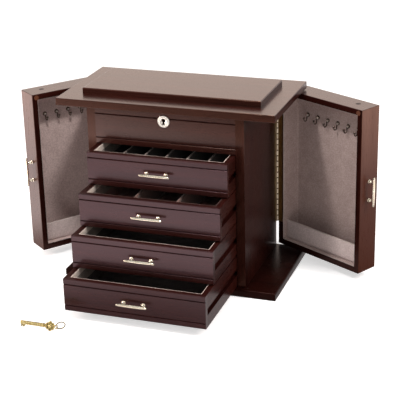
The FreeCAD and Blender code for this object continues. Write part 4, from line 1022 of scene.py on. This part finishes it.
def swept(build, points, radius):
    """A round wire along a path of points."""
    rings = []
    across = None
    for index, point in enumerate(points):
        before = points[max(index - 1, 0)]
        after = points[min(index + 1, len(points) - 1)]
        heading = (after - before).normalized()
        if across is None:
            across = heading.orthogonal().normalized()
        across = (across - heading * across.dot(heading)).normalized()
        other = heading.cross(across)
        rings.append([
            build.verts.new(point + radius * (across * math.cos(angle) + other * math.sin(angle)))
            for angle in (2 * math.pi * step / WIRE_SIDES for step in range(WIRE_SIDES))
        ])
    closed(build, rings)


def looped(build, place, radius, wire, around=20):
    """A round wire closed into a ring, in its own flat directions."""
    rings = []
    for step in range(around):
        turn = Matrix.Rotation(2 * math.pi * step / around, 4, "Z")
        rings.append([
            build.verts.new(place @ (turn @ Vector((
                (radius + wire * math.cos(angle)) * MM, 0.0, wire * math.sin(angle) * MM,
            ))))
            for angle in (2 * math.pi * side / RING_SIDES for side in range(RING_SIDES))
        ])
    closed(build, rings + rings[:1], capped=False)


def fitting(name, build, materials):
    """The built mesh as a piece with its sharper edges shaded as edges."""
    bmesh.ops.recalc_face_normals(build, faces=build.faces)
    piece = shown(name, build, materials)
    piece.data.set_sharp_from_angle(angle=SHARP_ANGLE)
    return piece


BAR = ((0.0, 1.0), (0.2, 1.4), (0.6, 1.6), (4.0, 1.9), (14.0, 2.3), (25.0, 2.4))
BAR_LENGTH = 50.0
BAR_OUT = 10.0
POST = (
    (-0.1, 3.2), (0.5, 3.2), (0.9, 2.6), (1.3, 2.3), (2.2, 2.7), (3.2, 2.8), (4.2, 2.3), (5.0, 1.5),
    (7.0, 1.3), (9.6, 1.3),
)
POST_ASIDE = 16.0


def pull(name, body, metal, centre, along, out):
    """A bar that tapers to its ends, on two turned posts with a ball at the foot."""
    centre, along, out = Vector(centre), Vector(along), Vector(out)
    build = bmesh.new()
    profile = [*BAR, *((BAR_LENGTH - distance, radius) for distance, radius in reversed(BAR[:-1]))]
    start = centre + out * BAR_OUT * MM - along * (BAR_LENGTH / 2) * MM
    turned(build, start, along, profile)
    for end in (-1, 1):
        turned(build, centre + along * end * POST_ASIDE * MM, out, POST)
    piece = fitting(f"{name}_turned", build, [metal])
    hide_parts(name)
    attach(piece, body)


def pulls(metal):
    for number in DRAWERS:
        low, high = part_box(f"drawer_{number}_pull")
        seat = (0.0, high[1], (low[2] + high[2]) / 2)
        pull(f"drawer_{number}_pull", f"drawer_{number}", metal, seat, (1, 0, 0), (0, -1, 0))
    for word in SIDES:
        place = door_place(word)
        seat = place @ Vector((DOOR_END, PULL_HEIGHT, PANEL_DEPTH - PULL_DEPTH))
        out = place.to_3x3() @ Vector((1.0, 0.0, 0.0))
        pull(f"door_{word}_pull", f"door_{word}", metal, seat, (0, 0, 1), out)


HOOKS = 6
HOOK_FIRST, HOOK_PITCH = 36.0 * MM, 22.0 * MM
HOOK_HEIGHT = 246.0 * MM
HOOK_PLATE = ((0.0, 3.6), (0.5, 3.6), (1.1, 3.3), (1.5, 2.8), (1.7, 1.5))
HOOK_HIGHLIGHT_DOT = ((1.0, 1.7), (2.6, 1.7), (3.6, 1.2), (4.1, 0.5))
HOOK_KNOB = ((0.0, 1.0), (0.3, 1.5), (1.0, 1.85), (1.7, 1.95), (2.5, 1.7), (3.1, 1.15), (3.4, 0.4))

# The stem from its plate, as drop and rise; where its bend starts, and the bend's radius.
HOOK_STEM = ((0.0, 0.8), (-0.6, 2.4), (-2.4, 3.4), (-4.8, 3.7))
HOOK_BEND_AT = (-6.4, 3.7)
HOOK_BEND = 3.4
HOOK_BEND_STEPS = 10
HOOK_WIRE = 0.95 * MM


def hook_path(seat):
    """A hook's stem and upturned bend, from its seat on the door's lining."""
    drop, rise = HOOK_BEND_AT
    path = list(HOOK_STEM)
    for step in range(1, HOOK_BEND_STEPS + 1):
        angle = math.pi * step / HOOK_BEND_STEPS
        path.append((
            drop - HOOK_BEND * math.sin(angle), rise + HOOK_BEND - HOOK_BEND * math.cos(angle),
        ))
    points = [seat + Vector((0.0, down * MM, out * MM)) for down, out in path]
    return [*points, points[-1] + Vector((0.0, 1.0 * MM, 0.0))]


def hooks(metal, bright):
    """Six necklace hooks in each door: domed plate with a paler dome as painted highlight, stem,
    upturned bend and knob.
    """
    for word in SIDES:
        place = door_place(word)
        build = bmesh.new()
        out = place.to_3x3() @ Vector((0.0, 0.0, 1.0))
        for index in range(HOOKS):
            seat = Vector((HOOK_FIRST + HOOK_PITCH * index, HOOK_HEIGHT, 1.0 * MM))
            # A paler metal dome in the middle of each plate: painted highlight.
            turned(build, place @ seat, out, HOOK_HIGHLIGHT_DOT, 20, material=1)
            turned(build, place @ seat, out, HOOK_PLATE, 20)
            path = hook_path(seat)
            swept(build, [place @ point for point in path], HOOK_WIRE)
            tip = path[-1] - Vector((0.0, 0.3 * MM, 0.0))
            turned(build, place @ tip, (0, 0, 1), HOOK_KNOB, 16)
        piece = fitting(f"door_{word}_necklace_hooks", build, [metal, bright])
        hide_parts(f"door_{word}_hooks")
        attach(piece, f"door_{word}")


# The keyhole: a round hole, open downwards into a slot, whose right side is listed.
KEYHOLE_STEPS = 26
KEYHOLE_ARC = (-62.0, 304.0)
KEYHOLE_RADIUS = 3.1
KEYHOLE_RISE = 1.6
KEYHOLE_FOOT = -5.4
KEYHOLE_SIDE = ((1.7, -1.9), (1.8, -3.1), (1.9, -4.3), (2.0, -5.4), (1.35, -5.4), (0.7, -5.4))

# The rose's radius and rise from its seat, outwards from the hole and back; 0 is the hole's edge.
ROSE = (
    (0.0, 0.4), (0.0, 1.7), (5.6, 2.2), (6.8, 2.35), (7.6, 2.2), (8.0, 1.9), (8.4, 2.1), (9.1, 2.2),
    (9.7, 1.8), (10.0, 1.0), (10.0, 0.0), (9.0, 0.0), (0.0, 0.0), (0.0, 0.4),
)


def escutcheon(metal):
    """A domed rose with a raised rim, round a keyhole."""
    low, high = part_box("escutcheon")
    middle = ((low[0] + high[0]) / 2, (low[2] + high[2]) / 2)
    start, sweep = KEYHOLE_ARC
    hole = []
    for step in range(KEYHOLE_STEPS):
        angle = math.radians(start + sweep * step / (KEYHOLE_STEPS - 1))
        hole.append((
            KEYHOLE_RADIUS * math.cos(angle), KEYHOLE_RISE + KEYHOLE_RADIUS * math.sin(angle),
        ))
    hole += [(-x, z) for x, z in KEYHOLE_SIDE]
    hole += [(0.0, KEYHOLE_FOOT), *reversed(KEYHOLE_SIDE)]
    build = bmesh.new()
    rings = []
    for radius, rise in ROSE:
        ring = []
        for x, z in hole:
            scale = (radius / math.hypot(x, z) if radius else 1.0) * MM
            ring.append(build.verts.new((
                middle[0] + x * scale, high[1] - rise * MM, middle[1] + z * scale,
            )))
        rings.append(ring)
    closed(build, rings, capped=False)
    bmesh.ops.recalc_face_normals(build, faces=build.faces)
    piece = shown("keyhole_rose", build, [metal])
    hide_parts("escutcheon")
    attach(piece, "box")


KEY_PLACE = (-120.4 * MM, -287.6 * MM, 7.5 * MM)
KEY_LEAN = math.radians(68.0)
KEY_BARREL = (
    (4.6, 2.2), (6.8, 2.4), (7.4, 3.3), (8.1, 2.5), (9.2, 2.3), (10.1, 3.4), (11.0, 3.8),
    (11.9, 3.4), (12.8, 2.5), (13.8, 3.2), (14.6, 2.8), (15.6, 1.4), (48.6, 1.4), (49.5, 1.2),
)
KEY_FLUTE = ((13.5, 1.2), (14.6, 1.6), (48.0, 1.6), (49.4, 1.5), (50.0, 1.1))
KEY_FLUTE_ASIDE = 1.5 * MM
KEY_SHADE_WEB = ((-0.4, 6.0), (0.4, 6.0))
KEY_BOSS = ((-1.9, 0.8), (-1.5, 1.9), (-0.6, 2.5), (0.6, 2.5), (1.5, 1.9), (1.9, 0.8))
KEY_BIT = (
    (-48.2, -1.5), (-48.2, -6.2), (-46.6, -6.2), (-46.6, -4.4), (-45.2, -4.4),
    (-45.2, -6.2), (-43.4, -6.2), (-43.4, -5.0), (-41.4, -5.0), (-41.4, -1.5),
)
KEY_BIT_HALF = 1.1

# Rings of wire: how far from the bow's middle, the ring's radius and the wire's.
KEY_PETALS = 6
PETAL_OUT, PETAL = 4.6 * MM, (2.3, 1.0)
EYE_OUT, EYE = 10.2 * MM, (2.9, 0.7)
RING_LEAN = math.radians(18.0)
RING = (7.0, 0.85)


def key(metal, dark):
    """A barrel key: collars, a notched bit and a bow of six petal rings round a boss."""
    place = Matrix.Translation(KEY_PLACE) @ Matrix.Rotation(KEY_LEAN, 4, "X")
    build = bmesh.new()
    turned(build, place @ Vector(), (-1, 0, 0), KEY_BARREL, 20)
    for side in (-KEY_FLUTE_ASIDE, KEY_FLUTE_ASIDE):
        turned(build, place @ Vector((0, side, 0)), (-1, 0, 0), KEY_FLUTE, 16)
    normal = place.to_3x3() @ Vector((0, 0, 1))
    # A dark gold web behind the petal rings: painted shade in the bow's openings.
    turned(build, place @ Vector(), normal, KEY_SHADE_WEB, material=1)
    turned(build, place @ Vector(), normal, KEY_BOSS, 20)
    for index in range(KEY_PETALS):
        turn = Matrix.Rotation(2 * math.pi * (index + 0.5) / KEY_PETALS, 4, "Z")
        looped(build, place @ turn @ Matrix.Translation((PETAL_OUT, 0, 0)), *PETAL)
    looped(build, place @ Matrix.Translation((EYE_OUT, 0, 0)), *EYE)
    closed(build, [
        [build.verts.new(place @ Vector((x * MM, y * MM, z * MM))) for x, y in KEY_BIT]
        for z in (-KEY_BIT_HALF, KEY_BIT_HALF)
    ])
    piece = fitting("barrel_key", build, [metal, dark])
    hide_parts("key")
    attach(piece, "key")


def key_ring(metal):
    low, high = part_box("key_ring")
    middle = Vector(((low[axis] + high[axis]) / 2 for axis in range(3)))
    place = Matrix.Translation(middle) @ Matrix.Rotation(RING_LEAN, 4, "X")
    build = bmesh.new()
    looped(build, place, *RING, around=40)
    piece = shown("wire_ring", build, [metal])
    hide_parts("key_ring")
    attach(piece, "key_ring")


def main_pieces():
    suedes = {name: suede(f"suede_{name}", *shades) for name, shades in SUEDES.items()}
    metals = {name: brushed(*look) for name, look in METALS.items()}
    well = [suedes["cream"], suedes["edge"]]
    dress_nodes(suedes, metals)
    drawer_fabrics(suedes)
    door_fabrics(suedes)
    well_fabrics(well)
    ring_rolls(well)
    pulls(metals["champagne"])
    hooks(metals["bronze"], metals["rose"])
    escutcheon(metals["rose"])
    key(metals["gold"], metals["dark_gold"])
    key_ring(metals["dark_gold"])


make_camera()
make_world()
make_floor()
for settings in SOFTBOXES:
    softbox(*settings)
main_pieces()
bpy.context.scene.view_settings.view_transform = "Standard"
